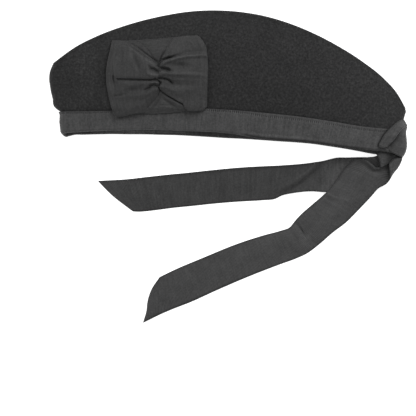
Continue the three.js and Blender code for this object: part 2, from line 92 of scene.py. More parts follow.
TOP_FOLD = [
    dict(u=0.000, depth=2.6),
    dict(u=0.026, depth=6),
    dict(u=0.10, depth=20),
    dict(u=0.25, depth=37),
    dict(u=0.50, depth=44),
    dict(u=0.75, depth=36),
    dict(u=0.90, depth=19),
    dict(u=0.974, depth=6),
    dict(u=1.000, depth=2.6),
]


# ------------------------------------------------------------------ small maths
def spline(rows, key, value):
    xs = np.array([r[key] for r in rows], float)
    ys = np.array([r[value] for r in rows], float)
    d = np.diff(ys) / np.diff(xs)
    w = np.diff(xs)
    m = np.empty_like(ys)
    m[0], m[-1] = d[0], d[-1]
    m[1:-1] = (d[:-1] * w[1:] + d[1:] * w[:-1]) / (w[1:] + w[:-1])

    def f(x):
        t = np.clip(np.asarray(x, float), xs[0], xs[-1])
        i = np.clip(np.searchsorted(xs, t, side="right") - 1, 0, len(xs) - 2)
        h = xs[i + 1] - xs[i]
        s = (t - xs[i]) / h
        s2, s3 = s * s, s * s * s
        return ((2 * s3 - 3 * s2 + 1) * ys[i] + (s3 - 2 * s2 + s) * h * m[i]
                + (-2 * s3 + 3 * s2) * ys[i + 1] + (s3 - s2) * h * m[i + 1])
    return f


def mix(a, b, t):
    return a + (b - a) * t


def smooth(t):
    c = np.clip(t, 0, 1)
    return c * c * (3 - 2 * c)


def unit(v):
    return v / np.maximum(np.linalg.norm(v, axis=-1, keepdims=True), 1e-12)


def lattice(seed, n=64):
    return np.random.default_rng(seed).uniform(-1, 1, (n, n))


def value_noise(x, y, seed):
    """Smooth seeded noise from -1 to 1, one feature per unit."""
    t = lattice(seed)
    n = t.shape[0]
    xi, yi = np.floor(x).astype(int), np.floor(y).astype(int)
    fx, fy = smooth(x - xi), smooth(y - yi)
    a, b = t[xi % n, yi % n], t[(xi + 1) % n, yi % n]
    c, d = t[xi % n, (yi + 1) % n], t[(xi + 1) % n, (yi + 1) % n]
    return mix(mix(a, b, fx), mix(c, d, fx), fy)


rim_left = spline([dict(u=u, y=y) for u, y in RIM_LEFT], "u", "y")
rim_right = spline([dict(u=u, y=y) for u, y in RIM_RIGHT], "u", "y")
seam_line = spline(SECTIONS, "u", "seam")
top_line = spline(SECTIONS, "u", "top")
front_x = spline(HEIGHTS, "h", "front")
back_x = spline(HEIGHTS, "h", "back")
rise_of = spline(HEIGHTS, "h", "rise")
fold_depth = spline(TOP_FOLD, "u", "depth")


# ------------------------------------------------------------------ the cap's outer surface
def side_y(left, u, h):
    rim = np.where(left, rim_left(u), rim_right(u))
    low = mix(rim, seam_line(u), h / SEAM_H)
    high = mix(seam_line(u), top_line(u), (h - SEAM_H) / (1 - SEAM_H))
    return np.where(h < SEAM_H, low, high)


def lens(u):
    return np.power(np.maximum(4 * u * (1 - u), 0), 0.85)


def loop_point(a, h):
    a, h = np.broadcast_arrays(np.asarray(a, float), np.asarray(h, float))
    t = np.mod(a, 6)
    left = t < 3
    s = np.where(left, t, 6 - t)
    x0, x1 = front_x(h), back_x(h)
    e = np.where(s < 1, s, np.where(s > 2, 3 - s, 1.0)) * math.pi / 2
    run = CREASE_R * (1 - np.cos(e))
    x = np.where(s < 1, x0 + run, np.where(s > 2, x1 - run, mix(x0 + CREASE_R, x1 - CREASE_R, s - 1)))
    turn = np.sin(e)
    u = (x - x0) / (x1 - x0)
    up = CREASE_R + CREASE_R * turn + (rise_of(h) - 2 * CREASE_R) * lens(u)
    lift = BAND_LIFT * (1 - smooth((h - SEAM_H) / SETTLE_H))
    down = CREASE_R - (CREASE_R - lift) * turn
    return np.stack([x, side_y(left, u, h), np.where(left, up, down)], axis=-1)


def loop_normal(a, h):
    e = 1e-3
    along = loop_point(a + e, h) - loop_point(a - e, h)
    up = loop_point(a, np.minimum(h + e, 1)) - loop_point(a, np.maximum(h - e, 0))
    return unit(np.cross(along, up))


def offset_point(a, h, off):
    a, h, off = np.broadcast_arrays(np.asarray(a, float), np.asarray(h, float), np.asarray(off, float))
    return loop_point(a, h) + loop_normal(a, h) * off[..., None]


def left_height(x, y, ease=1.6):
    """Height of the left side's outer surface, or of the band where it covers that; ease is the
    length over which the band's top edge is taken up."""
    x, y = np.broadcast_arrays(np.asarray(x, float), np.asarray(y, float))
    lo, hi = np.zeros_like(x), np.ones_like(x)
    for _ in range(26):
        h = (lo + hi) / 2
        u = (x - front_x(h)) / (back_x(h) - front_x(h))
        below = side_y(True, u, h) < y
        lo, hi = np.where(below, h, lo), np.where(below, hi, h)
    h = (lo + hi) / 2
    x0, x1 = front_x(h), back_x(h)
    u = (x - x0) / (x1 - x0)
    xi = np.clip(np.minimum(x - x0, x1 - x), 0, CREASE_R)
    turn = np.sqrt(np.maximum(1 - (1 - xi / CREASE_R) ** 2, 0))
    outside = (GAP + RIBBON) * smooth((seam_line(u) + 0.6 + ease - y) / ease)
    return CREASE_R + CREASE_R * turn + (rise_of(h) - 2 * CREASE_R) * lens(u) + outside


def line_distance(x, y, pts):
    """Distance to a polyline, which side of it, and how far along it the nearest point is (0 to 1)."""
    pts = np.asarray(pts, float)
    run = np.concatenate([[0], np.cumsum(np.linalg.norm(np.diff(pts[:, :2], axis=0), axis=-1))])
    best = np.full(np.shape(x), 1e9)
    side = np.zeros(np.shape(x))
    along = np.zeros(np.shape(x))
    for k in range(len(pts) - 1):
        p, q = pts[k, :2], pts[k + 1, :2]
        d = q - p
        f = np.clip(((x - p[0]) * d[0] + (y - p[1]) * d[1]) / (d @ d), 0, 1)
        ex, ey = x - p[0] - f * d[0], y - p[1] - f * d[1]
        r = np.hypot(ex, ey)
        new = r < best
        best = np.where(new, r, best)
        side = np.where(new, np.sign(d[0] * ey - d[1] * ex), side)
        along = np.where(new, (run[k] + f * (run[k + 1] - run[k])) / run[-1], along)
    return best, side, along


def crease(x, y, pts, depth, width, kind="v"):
    """Relief of one crease: negative in its bottom. A point may carry its own share of the depth."""
    pts = np.asarray(pts, float)
    d, side, along = line_distance(x, y, pts)
    run = np.concatenate([[0], np.cumsum(np.linalg.norm(np.diff(pts[:, :2], axis=0), axis=-1))])
    share = np.interp(along, run / run[-1], pts[:, 2]) if pts.shape[1] > 2 else 1.0
    r = d / width
    if kind == "v":
        f = np.maximum(1 - r, 0) ** 1.6
    elif kind == "soft":
        f = np.where(r < 1, 0.5 + 0.5 * np.cos(math.pi * np.minimum(r, 1)), 0)
    elif kind == "slot":
        f = 1 - smooth((r - 0.45) / 0.55)
    else:                                     # "step": the left-hand side of the line stands above the other
        f = -np.where(side > 0, np.maximum(1 - r, 0) ** 1.3, -0.35 * np.maximum(1 - r * 1.4, 0) ** 1.5)
    return -depth * share * f


def painted_shading_lines(x, y, table):
    """Painted shading added by a table of lines: a positive amount is darker, painted shade in the bottom of a fold or
    where one part shades another, and a negative amount is a painted highlight.
    """
    v = np.zeros(np.shape(x))
    for pts, amount, width, kind in table:
        v = v + crease(x, y, pts, amount, width, kind)
    return v


def painted_shading_of(table, base=1.0):
    return lambda x, y: base + painted_shading_lines(x, y, table)


# Painted shade and light on the crown's near side: the cockade's painted shadow left and right of it, and painted light
# around that shadow. A positive amount is darker, a negative one lighter.
WOOL_LINES = [
    ([(-109.6, 67.4, 0.5), (-107.9, 59.5, 1), (-105.2, 51.6, 1)], -0.50, 4.6, "soft"),
    ([(-111.9, 92.0, 0.4), (-111.9, 81.5, 0.8), (-111.9, 69.2, 0.8), (-110.2, 60.4, 0.4), (-108.4, 53.3, 0.1)], 0.18, 11.0, "soft"),
    ([(-125.1, 104.4, 0.7), (-126.9, 92.0, 1), (-126.9, 78.0, 0.8), (-126.9, 62.1, 0.3)], -0.18, 15.0, "soft"),
    ([(-13.4, 102.6, 0.6), (-13.4, 76.2, 1), (-14.3, 58.6, 0.7)], 0.10, 7.0, "soft"),
]
# Painted shadows on the band's outer face: along the near edge of the knot's roll and below its lower end, near the
# band's lower edge by the knot, and the cockade's shadow below it.
BAND_LINES = [
    ([(153.0, 41.6), (147.5, 38.5), (142.6, 34.4), (138.5, 30.3), (135.8, 26.5), (133.1, 21.6), (132.0, 19.3)], 0.95, 2.0, "soft"),
    ([(131.7, 19.1, 1), (133.1, 16.7, 0.6), (136.2, 16.1, 0.3)], 0.45, 1.4, "soft"),
    ([(117.7, 14.3, 0.3), (123.0, 13.6, 0.8), (128.3, 12.7, 1), (133.6, 12.1, 1)], 0.35, 2.2, "soft"),
    ([(-97.0, 43.7, 0.7), (-83.2, 45.8, 1), (-74.4, 46.1, 1), (-52.1, 46.1, 1), (-37.1, 47.0, 1), (-23.1, 48.0, 0.8)], 0.34, 1.2, "soft"),
]
RIM_INSIDE_LINES = [              # painted light on the inner face of the ribbon that lies underneath, where it shows in shade below the near rim
    ([(-119.9, 30.5, 0.3), (-108.4, 30.4, 0.8), (-90.8, 30.4, 1), (-68.8, 30.4, 1), (-46.8, 30.1, 1), (-24.8, 29.5, 1), (-7.2, 28.5, 1), (8.6, 27.3, 0.7)], -1.7, 0.9, "soft"),
]


# ------------------------------------------------------------------ mesh helpers
def new_object(name, verts, quads, tris=None, uv=None, material=None, slot=None, flip=None, smooth_shade=True,
               tone=None, tone_at=None):
    """Mesh from millimetre vertices. uv holds one pair in millimetres for each vertex; tone is the painted shade and
    light at each vertex, a factor on the colour that is 1 for the cloth's own colour, and tone_at the same over the
    plan."""
    verts = np.array(verts, float).reshape(-1, 3)
    verts[:, 2] = np.maximum(verts[:, 2], 0.02)          # the floor presses what would pass below it
    shade = np.ones(len(verts)) if tone is None else np.asarray(tone, float).ravel().copy()
    if tone_at is not None:
        shade = shade * tone_at(verts[:, 0], verts[:, 1])
    quads = np.asarray(quads, int).reshape(-1, 4) if quads is not None and len(quads) else np.zeros((0, 4), int)
    tris = np.asarray(tris, int).reshape(-1, 3) if tris is not None and len(tris) else np.zeros((0, 3), int)
    if flip is None:                      # signed volume tells which way the faces look
        t = np.concatenate([quads[:, [0, 1, 2]], quads[:, [0, 2, 3]], tris])
        vol = np.einsum("ij,ij->i", verts[t[:, 0]], np.cross(verts[t[:, 1]], verts[t[:, 2]])).sum()
        flip = vol < 0
    if flip:
        quads, tris = quads[:, ::-1], tris[:, ::-1]
    me = bpy.data.meshes.new(name)
    me.vertices.add(len(verts))
    me.vertices.foreach_set("co", ((verts + SHIFT) * 0.001).ravel())
    loops = np.concatenate([quads.ravel(), tris.ravel()])
    sizes = np.concatenate([np.full(len(quads), 4), np.full(len(tris), 3)])
    starts = np.concatenate([[0], np.cumsum(sizes)[:-1]])
    me.loops.add(len(loops))
    me.loops.foreach_set("vertex_index", loops)
    me.polygons.add(len(sizes))
    me.polygons.foreach_set("loop_start", starts)
    me.polygons.foreach_set("use_smooth", np.full(len(sizes), bool(smooth_shade)))
    me.update(calc_edges=True)
    me.validate()
    if uv is not None:
        layer = me.uv_layers.new(name="thread")
        layer.uv.foreach_set("vector", (np.asarray(uv, float).reshape(-1, 2)[loops] * 0.001).ravel())
    layer = me.attributes.new("tone", "FLOAT", "POINT")
    layer.data.foreach_set("value", np.clip(shade, 0.2, 3.0))
    ob = bpy.data.objects.new(name, me)
    bpy.context.scene.collection.objects.link(ob)
    if material is not None:
        me.materials.append(material)
    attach(ob, "root")
    return ob


def grid_quads(r, c, base=0, wrap_r=False, wrap_c=False):
    i = np.arange(r if wrap_r else r - 1)[:, None]
    j = np.arange(c if wrap_c else c - 1)[None, :]
    i2, j2 = (i + 1) % r, (j + 1) % c
    return np.stack([i * c + j, i * c + j2, i2 * c + j2, i2 * c + j], axis=-1).reshape(-1, 4) + base


def grid_normals(p):
    du = np.gradient(p, axis=0)
    dv = np.gradient(p, axis=1)
    return unit(np.cross(du, dv))


def sheet_faces(r, c, m):
    """Quads of a closed sheet: grid 0 on top, grid 1 below, and a rounded rim of m extra loops."""
    top = grid_quads(r, c)
    bottom = grid_quads(r, c, r * c)[:, ::-1]
    ring = np.concatenate([
        np.arange(c - 1), (np.arange(r - 1)) * c + c - 1,
        (r - 1) * c + np.arange(c - 1, 0, -1), np.arange(r - 1, 0, -1) * c])
    n = len(ring)
    loops = [ring] + [2 * r * c + k * n + np.arange(n) for k in range(m)] + [ring + r * c]
    sides = []
    for k in range(len(loops) - 1):
        p, q = loops[k], loops[k + 1]
        sides.append(np.stack([p, q, np.roll(q, -1), np.roll(p, -1)], axis=-1))
    return np.concatenate([top, bottom, *sides]), ring


def sheet_mesh(name, top, bottom, uv=None, rim=0.4, **more):
    """Closed sheet between two grids of points, with its edges rounded out by rim millimetres."""
    r, c = top.shape[:2]
    quads, ring = sheet_faces(r, c, 1)
    i, j = ring // c, ring % c
    ii, jj = np.clip(i, 1, r - 2), np.clip(j, 1, c - 2)
    t, b = top[i, j], bottom[i, j]
    mid = (t + b) / 2
    inward = unit(mid - (top[ii, jj] + bottom[ii, jj]) / 2)
    rim_points = mid + inward * rim
    verts = np.concatenate([top.reshape(-1, 3), bottom.reshape(-1, 3), rim_points])
    # painted shade along the sheet's edges: the rounded rim and the outermost rows and columns darkest, the next
    # columns in half as dark
    edge_shade = np.ones((r, c))
    edge_shade[:, [1, -2]] = 0.5 + 0.5 * PAINTED_EDGE_SHADE
    edge_shade[[0, -1], :] = edge_shade[:, [0, -1]] = PAINTED_EDGE_SHADE
    tone = np.concatenate([edge_shade.ravel(), edge_shade.ravel(), np.full(len(ring), PAINTED_EDGE_SHADE)])
    if uv is not None:
        uv = np.concatenate([uv.reshape(-1, 2), uv.reshape(-1, 2), uv[i, j]])
    return new_object(name, verts, quads, uv=uv, tone=tone, **more)


def arc_lengths(p):
    d = np.linalg.norm(np.diff(p, axis=0), axis=-1)
    return np.concatenate([[0], np.cumsum(d)])


def ribs(s):
    """Cross ribs of the grosgrain: rounded cords with a narrow dip between them."""
    t = np.abs(np.mod(s / RIB, 1.0) - 0.5) * 2
    return RIB_RISE * (1 - 2 * t ** 2.4)


def ribbon_mesh(name, mid, thick=0.8, rib=True, up=1, rib_axis=0, **more):
    """Ribbon with thickness and cross ribs round a middle surface; rows run along its length."""
    n = grid_normals(mid) * up
    centre = mid[:, mid.shape[1] // 2]
    s = arc_lengths(centre)
    w = np.stack([arc_lengths(mid[k]) for k in (0, mid.shape[0] // 2, mid.shape[0] - 1)]).mean(0)
    lift = (ribs(s) if rib else np.zeros(len(s)))[:, None]
    taper_and_painted_shade = np.minimum(smooth(np.arange(mid.shape[1]) / 1.0), smooth((mid.shape[1] - 1 - np.arange(mid.shape[1])) / 1.0))
    lift = lift * np.maximum(taper_and_painted_shade, 0.35)[None, :]
    top = mid + n * (thick / 2 + lift)[..., None]
    bottom = mid - n * (thick / 2 + lift)[..., None]
    uv = np.stack(np.broadcast_arrays(s[:, None], w[None, :]), axis=-1)
    return sheet_mesh(name, top, bottom, uv=uv, rim=thick * 0.35, **more)


# ------------------------------------------------------------------ the wool crown
CREASE_START = math.asin(GAP / 2 / (CREASE_R - BAND_LIFT - WOOL)) / (math.pi / 2)


def ring_cap(ring):
    """Faces that close a symmetrical ring: its point i lies opposite point -1-i."""
    m = len(ring)
    i = np.arange(m // 2 - 1)
    return np.stack([ring[i], ring[i + 1], ring[m - 2 - i], ring[m - 1 - i]], axis=-1)


def lofted(name, grid, closed=False, **more):
    """Tube through rows of ring points; an open run of rows gets a cap at each end."""
    r, c = grid.shape[:2]
    faces = [grid_quads(r, c, wrap_r=closed, wrap_c=True)]
    if not closed:
        ring = np.arange(c)
        faces += [ring_cap(ring)[:, ::-1], ring_cap(ring + (r - 1) * c)]
    return new_object(name, grid.reshape(-1, 3), np.concatenate(faces), **more)


def cloth_relief(x, y, h, left):
    """Soft unevenness of the milled wool, quiet under the band and under the cockade."""
    seed = 11 if left else 31
    v = (0.34 * value_noise(x / 46 + 3.1, y / 31 + 1.7, seed)
         + 0.16 * value_noise(x / 19 + 7.3, y / 15 + 2.2, seed + 1)
         + 0.05 * value_noise(x / 6.5, y / 5.5, seed + 2))
    m = smooth((h - SEAM_H - 0.01) / 0.07)
    if left:
        dx = np.maximum(np.maximum(-108 - x, x + 15), 0)
        dy = np.maximum(np.maximum(42 - y, y - 116), 0)
        m = m * smooth(np.hypot(dx, dy) / 9)
    return v * m


def wool_side(name, start, middle, rows, **more):
    left = start == 0
    ends = np.concatenate([np.linspace(CREASE_START, 0.14, 5), np.linspace(0.14, 1, 12)[1:]])
    a = np.concatenate([ends, np.linspace(1, 2, middle)[1:], 3 - ends[::-1][1:]])[:, None] + start
    up = np.linalg.norm(loop_point(a, 0.9) - loop_point(a, 0.5), axis=-1) / 0.4
    low = np.linalg.norm(loop_point(a, 0.15) - loop_point(a, 0.0), axis=-1) / 0.15
    top_r, low_r = WOOL / 2 / up, WOOL / 2 / low
    t = np.linspace(0, 1, rows)
    t = np.unique(np.concatenate([t, 1 - np.array([0.004, 0.010, 0.018, 0.027, 0.036]), [SEAM_H]]))[None, :]
    n, k = t.shape[1], 8
    th = (np.arange(k) + 0.5) / k * math.pi
    one = np.ones_like(a)
    outer_h = low_r + (1 - low_r - top_r) * t
    top_h, top_o = 1 - top_r + top_r * np.sin(th)[None, :], -WOOL / 2 + WOOL / 2 * np.cos(th)[None, :] * one
    low_h, low_o = low_r - low_r * np.sin(th)[None, :], -WOOL / 2 - WOOL / 2 * np.cos(th)[None, :] * one
    h = np.concatenate([low_h[:, k // 2:], outer_h, top_h, outer_h[:, ::-1], low_h[:, :k // 2]], axis=1)
    off = np.concatenate([low_o[:, k // 2:], 0 * outer_h, top_o, 0 * outer_h - WOOL, low_o[:, :k // 2]], axis=1)
    h, off = np.clip(h, 0, 1), off
    aa = np.broadcast_to(a, h.shape)
    p = loop_point(aa, h)
    s = aa - start
    crease = np.minimum(s, 3 - s) * CREASE_R * math.pi / 2
    relief = cloth_relief(p[..., 0], p[..., 1], h, left)
    relief -= 0.55 * np.exp(-(crease / 1.3) ** 2)                       # pressed seam at each crease
    edge = (1 - h) * up                                                 # millimetres below the top edge
    relief += (0.20 * np.exp(-((edge - 1.6) / 1.3) ** 2) - 0.22 * np.exp(-((edge - 4.6) / 1.2) ** 2)) * smooth(crease / 6)
    inner = np.zeros(h.shape[1], bool)
    inner[k // 2 + n + k // 2:] = True
    relief = np.where(inner[None, :], relief * 0.8, relief)
    p = p + loop_normal(aa, h) * (off + relief)[..., None]
    along = arc_lengths(loop_point(a[:, 0], 0.5))
    uv = np.stack(np.broadcast_arrays(along[:, None], h * 110.0), axis=-1)
    x, y = p[..., 0], p[..., 1]
    # Painted light and shade on the wool: lighter towards the back and a little darker about the middle, painted shade
    # along the top edge, at the front and back creases and just above the band (less towards the back), and on the near
    # side the lines around the cockade.
    tone = 1 + 0.19 * smooth((x - 60) / 80) - 0.03 * smooth(1 - np.abs(x - 20) / 60)
    tone = tone * (1 - 0.26 * np.exp(-(edge / 1.0) ** 2)) * (1 - 0.28 * np.exp(-(crease / 0.9) ** 2))
    tone = tone * (1 - 0.22 * np.exp(-(((h - SEAM_H) * up - 0.9) / 0.8) ** 2) * (1 - 0.8 * smooth((p[..., 0] - 95) / 25)))
    if left:
        tone = tone + painted_shading_lines(x, y, WOOL_LINES)
    return lofted(name, p, uv=uv, tone=tone, **more)


def gusset(name, stations, **more):
    """The top piece, folded inward between the two sides: a narrow V along the crown."""
    leaf = WOOL * 0.82
    rows = []
    us = np.linspace(TOP_FOLD[0]["u"], TOP_FOLD[-1]["u"], stations)
    for u in us:
        x, y = mix(front_x(1.0), back_x(1.0), u), top_line(u)
        dx = mix(front_x(0.6), back_x(0.6), u) - x
        dy = mix(seam_line(u), top_line(u), (0.6 - SEAM_H) / (1 - SEAM_H)) - y
        ln = math.hypot(dx, dy)
        d = fold_depth(u)
        upper = CREASE_R * 2 + (rise_of(1.0) - 2 * CREASE_R) * lens(u) - WOOL - GAP - 0.15
        lower = WOOL + GAP
        mid = (upper + lower) / 2
        h0, h1 = upper - leaf / 2 - mid, min((1.2 + leaf) / 2, d * 0.55)
        q = np.linspace(0, 1, 14)
        wave = 0.5 * math.sin(u * 23.0) * min(d / 30, 1)
        leg = np.stack([q * (d - h1), mix(h0, h1, q ** 0.85)], axis=-1)
        f = np.linspace(0, math.pi, 9)[1:-1]
        arc = np.stack([d - h1 + h1 * np.sin(f), h1 * np.cos(f)], axis=-1)
        line = np.concatenate([leg, arc, (leg * [1, -1])[::-1]])
        line[:, 1] += wave * smooth(line[:, 0] / max(d, 1e-6))
        g = np.gradient(line, axis=0)
        nrm = unit(np.stack([g[:, 1], -g[:, 0]], axis=-1))
        ring = np.concatenate([line + nrm * leaf / 2, (line - nrm * leaf / 2)[::-1]])
        rows.append(np.stack([x + dx / ln * ring[:, 0], y + dy / ln * ring[:, 0], mid + ring[:, 1]], axis=-1))
    g = np.array(rows)
    uv = np.stack(np.broadcast_arrays((us * 305)[:, None], np.linspace(0, 90, g.shape[1])[None, :]), axis=-1)
    return lofted(name, g, uv=uv, **more)


# ------------------------------------------------------------------ the rim band
def ring_stations():
    """Values of a for the band's stations, a quarter rib apart, and their distance round the rim."""
    a = np.linspace(0, 6, 6001)
    s = arc_lengths(loop_point(a, 0.1))
    count = int(round(s[-1] / RIB)) * 4
    at = np.arange(count) * s[-1] / count
    return np.interp(at, s, a), at / s[-1] * (count // 4) * RIB, s[-1]


BAND_MID = GAP + RIBBON / 2
STITCH_STEP = 1.67


def stitch_drop(x):
    """How far below the band's top edge the stitching runs: a little lower towards the back."""
    return 1.35 + 1.2 * smooth((x - 8) / 28)


def rim_band(name, **more):
    a, s, _ = ring_stations()
    a = a[:, None]
    lead = np.array([1.0, 0.985, 0.96, 0.935, 0.91, 0.885, 0.86, 0.83, 0.79, 0.66, 0.5, 0.34, 0.2, 0.11, 0.06, 0.02]) * SEAM_H
    th = np.linspace(0, math.pi, 7)
    centre, half = (BAND_MID - WOOL - BAND_MID) / 2, (2 * BAND_MID + WOOL) / 2
    turn_off, turn_dy = centre + half * np.cos(th), -0.8 * np.sin(th) ** 0.8
    back = np.array([0.03, 0.10, 0.45, 0.9, 1.0]) * BAND_INNER
    h = np.concatenate([lead, np.zeros(7), back])[None, :]
    off = np.concatenate([np.full(len(lead), BAND_MID), turn_off, np.full(len(back), -WOOL - BAND_MID)])[None, :]
    dy = np.concatenate([0 * lead, turn_dy, 0 * back])[None, :]
    mid = offset_point(a, h, off)
    mid[..., 1] += dy
    nrm = np.cross(np.roll(mid, -1, axis=0) - np.roll(mid, 1, axis=0), np.gradient(mid, axis=1))
    nrm = unit(nrm)
    out = offset_point(a, SEAM_H / 2, BAND_MID + 1) - offset_point(a, SEAM_H / 2, BAND_MID)
    if (nrm[:, 6] * out[:, 0]).sum() < 0:
        nrm = -nrm
    w = np.cumsum(np.concatenate([[0], np.linalg.norm(np.diff(mid[500], axis=0), axis=-1)]))
    # ease and relief of the outer face
    x = mid[..., 0]
    outer = (np.arange(h.shape[1]) < len(lead))[None, :]
    soft = 0.16 * value_noise(s[:, None] / 21 + 5, w[None, :] / 9, 71) + 0.07 * value_noise(s[:, None] / 6, w[None, :] / 6, 72)
    soft = soft * outer * smooth(w / 3)[None, :]
    full = w[len(lead) - 1]
    roll = 0.16 * np.exp(-((w - full + 1.0) / 0.7) ** 2) - 0.30 * np.exp(-((w - full + 2.2) / 0.5) ** 2)
    tension = 0.05 * np.exp(-((w - 0.6) / 0.5) ** 2)
    hole = smooth((np.abs(np.mod(s / STITCH_STEP, 1.0) - 0.5) * 2 - 0.35) / 0.4)[:, None]
    line = stitch_drop(x[:, :1])
    pull = np.exp(-((w[None, :] - line) / 0.70) ** 2) * outer
    notch = np.exp(-((w[None, :] - 0.9) / 0.9) ** 2) * outer * smooth((x + 18) / 6) * smooth((24 - x) / 8)
    dent = -0.60 * pull * hole - 0.04 * np.exp(-((w[None, :] - line) / 0.9) ** 2) * outer
    side = soft + (roll + tension)[None, :] * outer + dent
    rib = ribs(s)[:, None] * np.ones_like(side)
    taper_and_painted_shade = np.ones(len(w))
    taper_and_painted_shade[0] = taper_and_painted_shade[-1] = 0.4
    rib = rib * taper_and_painted_shade[None, :]
    half_t = RIBBON / 2 - RIB_RISE
    front = mid + nrm * (half_t + rib + side)[..., None]
    rear = mid - nrm * (half_t + rib * 0.6 - np.minimum(side, 0) * 0.0)[..., None]
    edge0 = (front[:, 0] + rear[:, 0]) / 2 + unit(mid[:, 0] - mid[:, 1]) * 0.28
    edge1 = (front[:, -1] + rear[:, -1]) / 2 + unit(mid[:, -1] - mid[:, -2]) * 0.28
    # the side that faces the wool is plainer
    keep = np.unique(np.r_[0:len(lead):5, len(lead):len(w):2, len(w) - 1])
    ring = np.concatenate([edge0[:, None], front, edge1[:, None], rear[:, keep][:, ::-1]], axis=1)
    wu = np.concatenate([[0], w, [w[-1]], w[keep][::-1]])
    uv = np.stack(np.broadcast_arrays(s[:, None], wu[None, :]), axis=-1)
    uv = uv.copy()
    # Painted light and shade on the band: a little darker at the front and lighter towards the back, the painted
    # shadows of the knot's roll and of the cockade on the outer face, and painted light on the inner face that shows
    # below the rim.
    taper_and_painted_shade = 1 - 0.08 * smooth((-x - 60) / 70) + 0.05 * smooth((x + 30) / 60) + 0.10 * smooth((x - 50) / 60)
    seen = smooth((x + 40) / 30) * smooth((104 - x) / 14)
    on_top, inside = outer * (a < 3), 1 - outer
    taper_and_painted_shade = taper_and_painted_shade + painted_shading_lines(x, mid[..., 1], BAND_LINES) * on_top + painted_shading_lines(x, mid[..., 1], RIM_INSIDE_LINES) * inside
    # Painted shade in the stitch dents and a painted highlight between them, and more painted shade in the stitch holes
    # close to the top edge about the middle.
    taper_and_painted_shade = taper_and_painted_shade + (0.85 * (1 - hole) - 0.90 * hole) * pull * (0.3 + 0.7 * seen)
    taper_and_painted_shade = taper_and_painted_shade - 0.45 * hole * notch
    # Towards the back: painted shade in the groove above the band's lower edge, a painted highlight on the rounded edge
    # below it, and painted shade along the lower edge where it turns under.
    rise = smooth((x - 8) / 12) * (np.arange(h.shape[1]) < len(lead) + 3)[None, :]
    taper_and_painted_shade = taper_and_painted_shade - (0.34 * np.exp(-((w - full + 2.8) / 0.45) ** 2) - 0.26 * np.exp(-((w - full + 1.8) / 0.5) ** 2)) * rise * smooth((80 - x) / 12)
    taper_and_painted_shade = taper_and_painted_shade - 0.74 * smooth((w - full + 1.0) / 0.6) * rise * (1 - 0.45 * smooth((x - 112) / 12))
    # Painted shade at the front and back creases and along the band's top edge where it meets the wool.
    front_back = np.minimum(np.abs(np.mod(a + 1.5, 3) - 1.5), 1) * CREASE_R * math.pi / 2
    taper_and_painted_shade = taper_and_painted_shade * (1 - 0.30 * np.exp(-(front_back / 0.9) ** 2))
    taper_and_painted_shade[:, 0] *= 0.85
    tone = np.concatenate([taper_and_painted_shade[:, :1] * 0.85, taper_and_painted_shade, taper_and_painted_shade[:, -1:], taper_and_painted_shade[:, keep][:, ::-1]], axis=1)
    return lofted(name, ring, closed=True, uv=uv, tone=tone, **more)


def capsule(p, q, nrm, r, sides=6, rows=5):
    """Small rounded thread between two points."""
    d = q - p
    ln = np.linalg.norm(d)
    d = d / ln
    b = unit(np.cross(d, nrm))
    c = np.cross(d, b)
    ring = []
    for i in range(rows):
        f = (i + 0.5) / rows
        rr = r * math.sin(math.acos(max(min(abs(2 * f - 1), 1), 0)) if abs(2 * f - 1) > 0.4 else math.pi / 2) ** 0.6
        at = p + d * ln * f
        ang = np.arange(sides) / sides * 2 * math.pi
        ring.append(at + rr * (np.cos(ang)[:, None] * b + 0.6 * np.sin(ang)[:, None] * c))
    v = np.concatenate([[p], *ring, [q]])
    quads = grid_quads(rows, sides, base=1, wrap_c=True)
    k = np.arange(sides)
    k2 = (k + 1) % sides
    tris = np.concatenate([
        np.stack([np.zeros(sides, int), 1 + k2, 1 + k], axis=-1),
        np.stack([np.full(sides, 1 + rows * sides), 1 + (rows - 1) * sides + k, 1 + (rows - 1) * sides + k2], axis=-1)])
    return v, quads, tris


def threads(name, starts, ends, normals, r, **more):
    vs, qs, ts, base = [], [], [], 0
    for p, q, n in zip(starts, ends, normals):
        v, quads, tris = capsule(p, q, n, r)
        vs.append(v)
        qs.append(quads + base)
        ts.append(tris + base)
        base += len(v)
    vs, qs, ts = np.concatenate(vs), np.concatenate(qs), np.concatenate(ts)
    first = capsule(starts[0], ends[0], normals[0], r)
    t = np.concatenate([first[1][:, [0, 1, 2]], first[1][:, [0, 2, 3]], first[2]])
    v = first[0] - first[0].mean(0)
    vol = np.einsum("ij,ij->i", v[t[:, 0]], np.cross(v[t[:, 1]], v[t[:, 2]])).sum()
    return new_object(name, vs, qs, ts, flip=vol < 0, **more)


def band_stitches(name, **more):
    a, s, total = ring_stations()
    n = int(s[-1] / STITCH_STEP)
    k = np.arange(n)
    s0, s1 = (k + 0.75) * STITCH_STEP, (k + 1.25) * STITCH_STEP
    a0, a1 = np.interp(s0, s, a), np.interp(np.minimum(s1, s[-1]), s, a)
    am = (a0 + a1) / 2
    drop = stitch_drop(offset_point(am, 0.1, 0)[:, 0]) / (np.linalg.norm(loop_point(a0, SEAM_H) - loop_point(a0, 0), axis=-1) / SEAM_H)
    out = GAP + RIBBON - 0.12
    p, q = offset_point(a0, SEAM_H - drop, out), offset_point(a1, SEAM_H - drop, out)
    nrm = unit(offset_point(am, SEAM_H - drop, 2) - offset_point(am, SEAM_H - drop, 1))
    return threads(name, p, q, nrm, 0.18, **more)


# ------------------------------------------------------------------ ribbons that lie or fold
def resample(mid, step):
    """Rows respaced along the middle line at an even step."""
    c = arc_lengths(mid[:, mid.shape[1] // 2])
    n = max(int(round(c[-1] / step)), 4)
    at = np.linspace(0, c[-1], n + 1)
    i = np.clip(np.searchsorted(c, at, side="right") - 1, 0, len(c) - 2)
    f = ((at - c[i]) / (c[i + 1] - c[i]))[:, None, None]
    return mid[i] * (1 - f) + mid[i + 1] * f


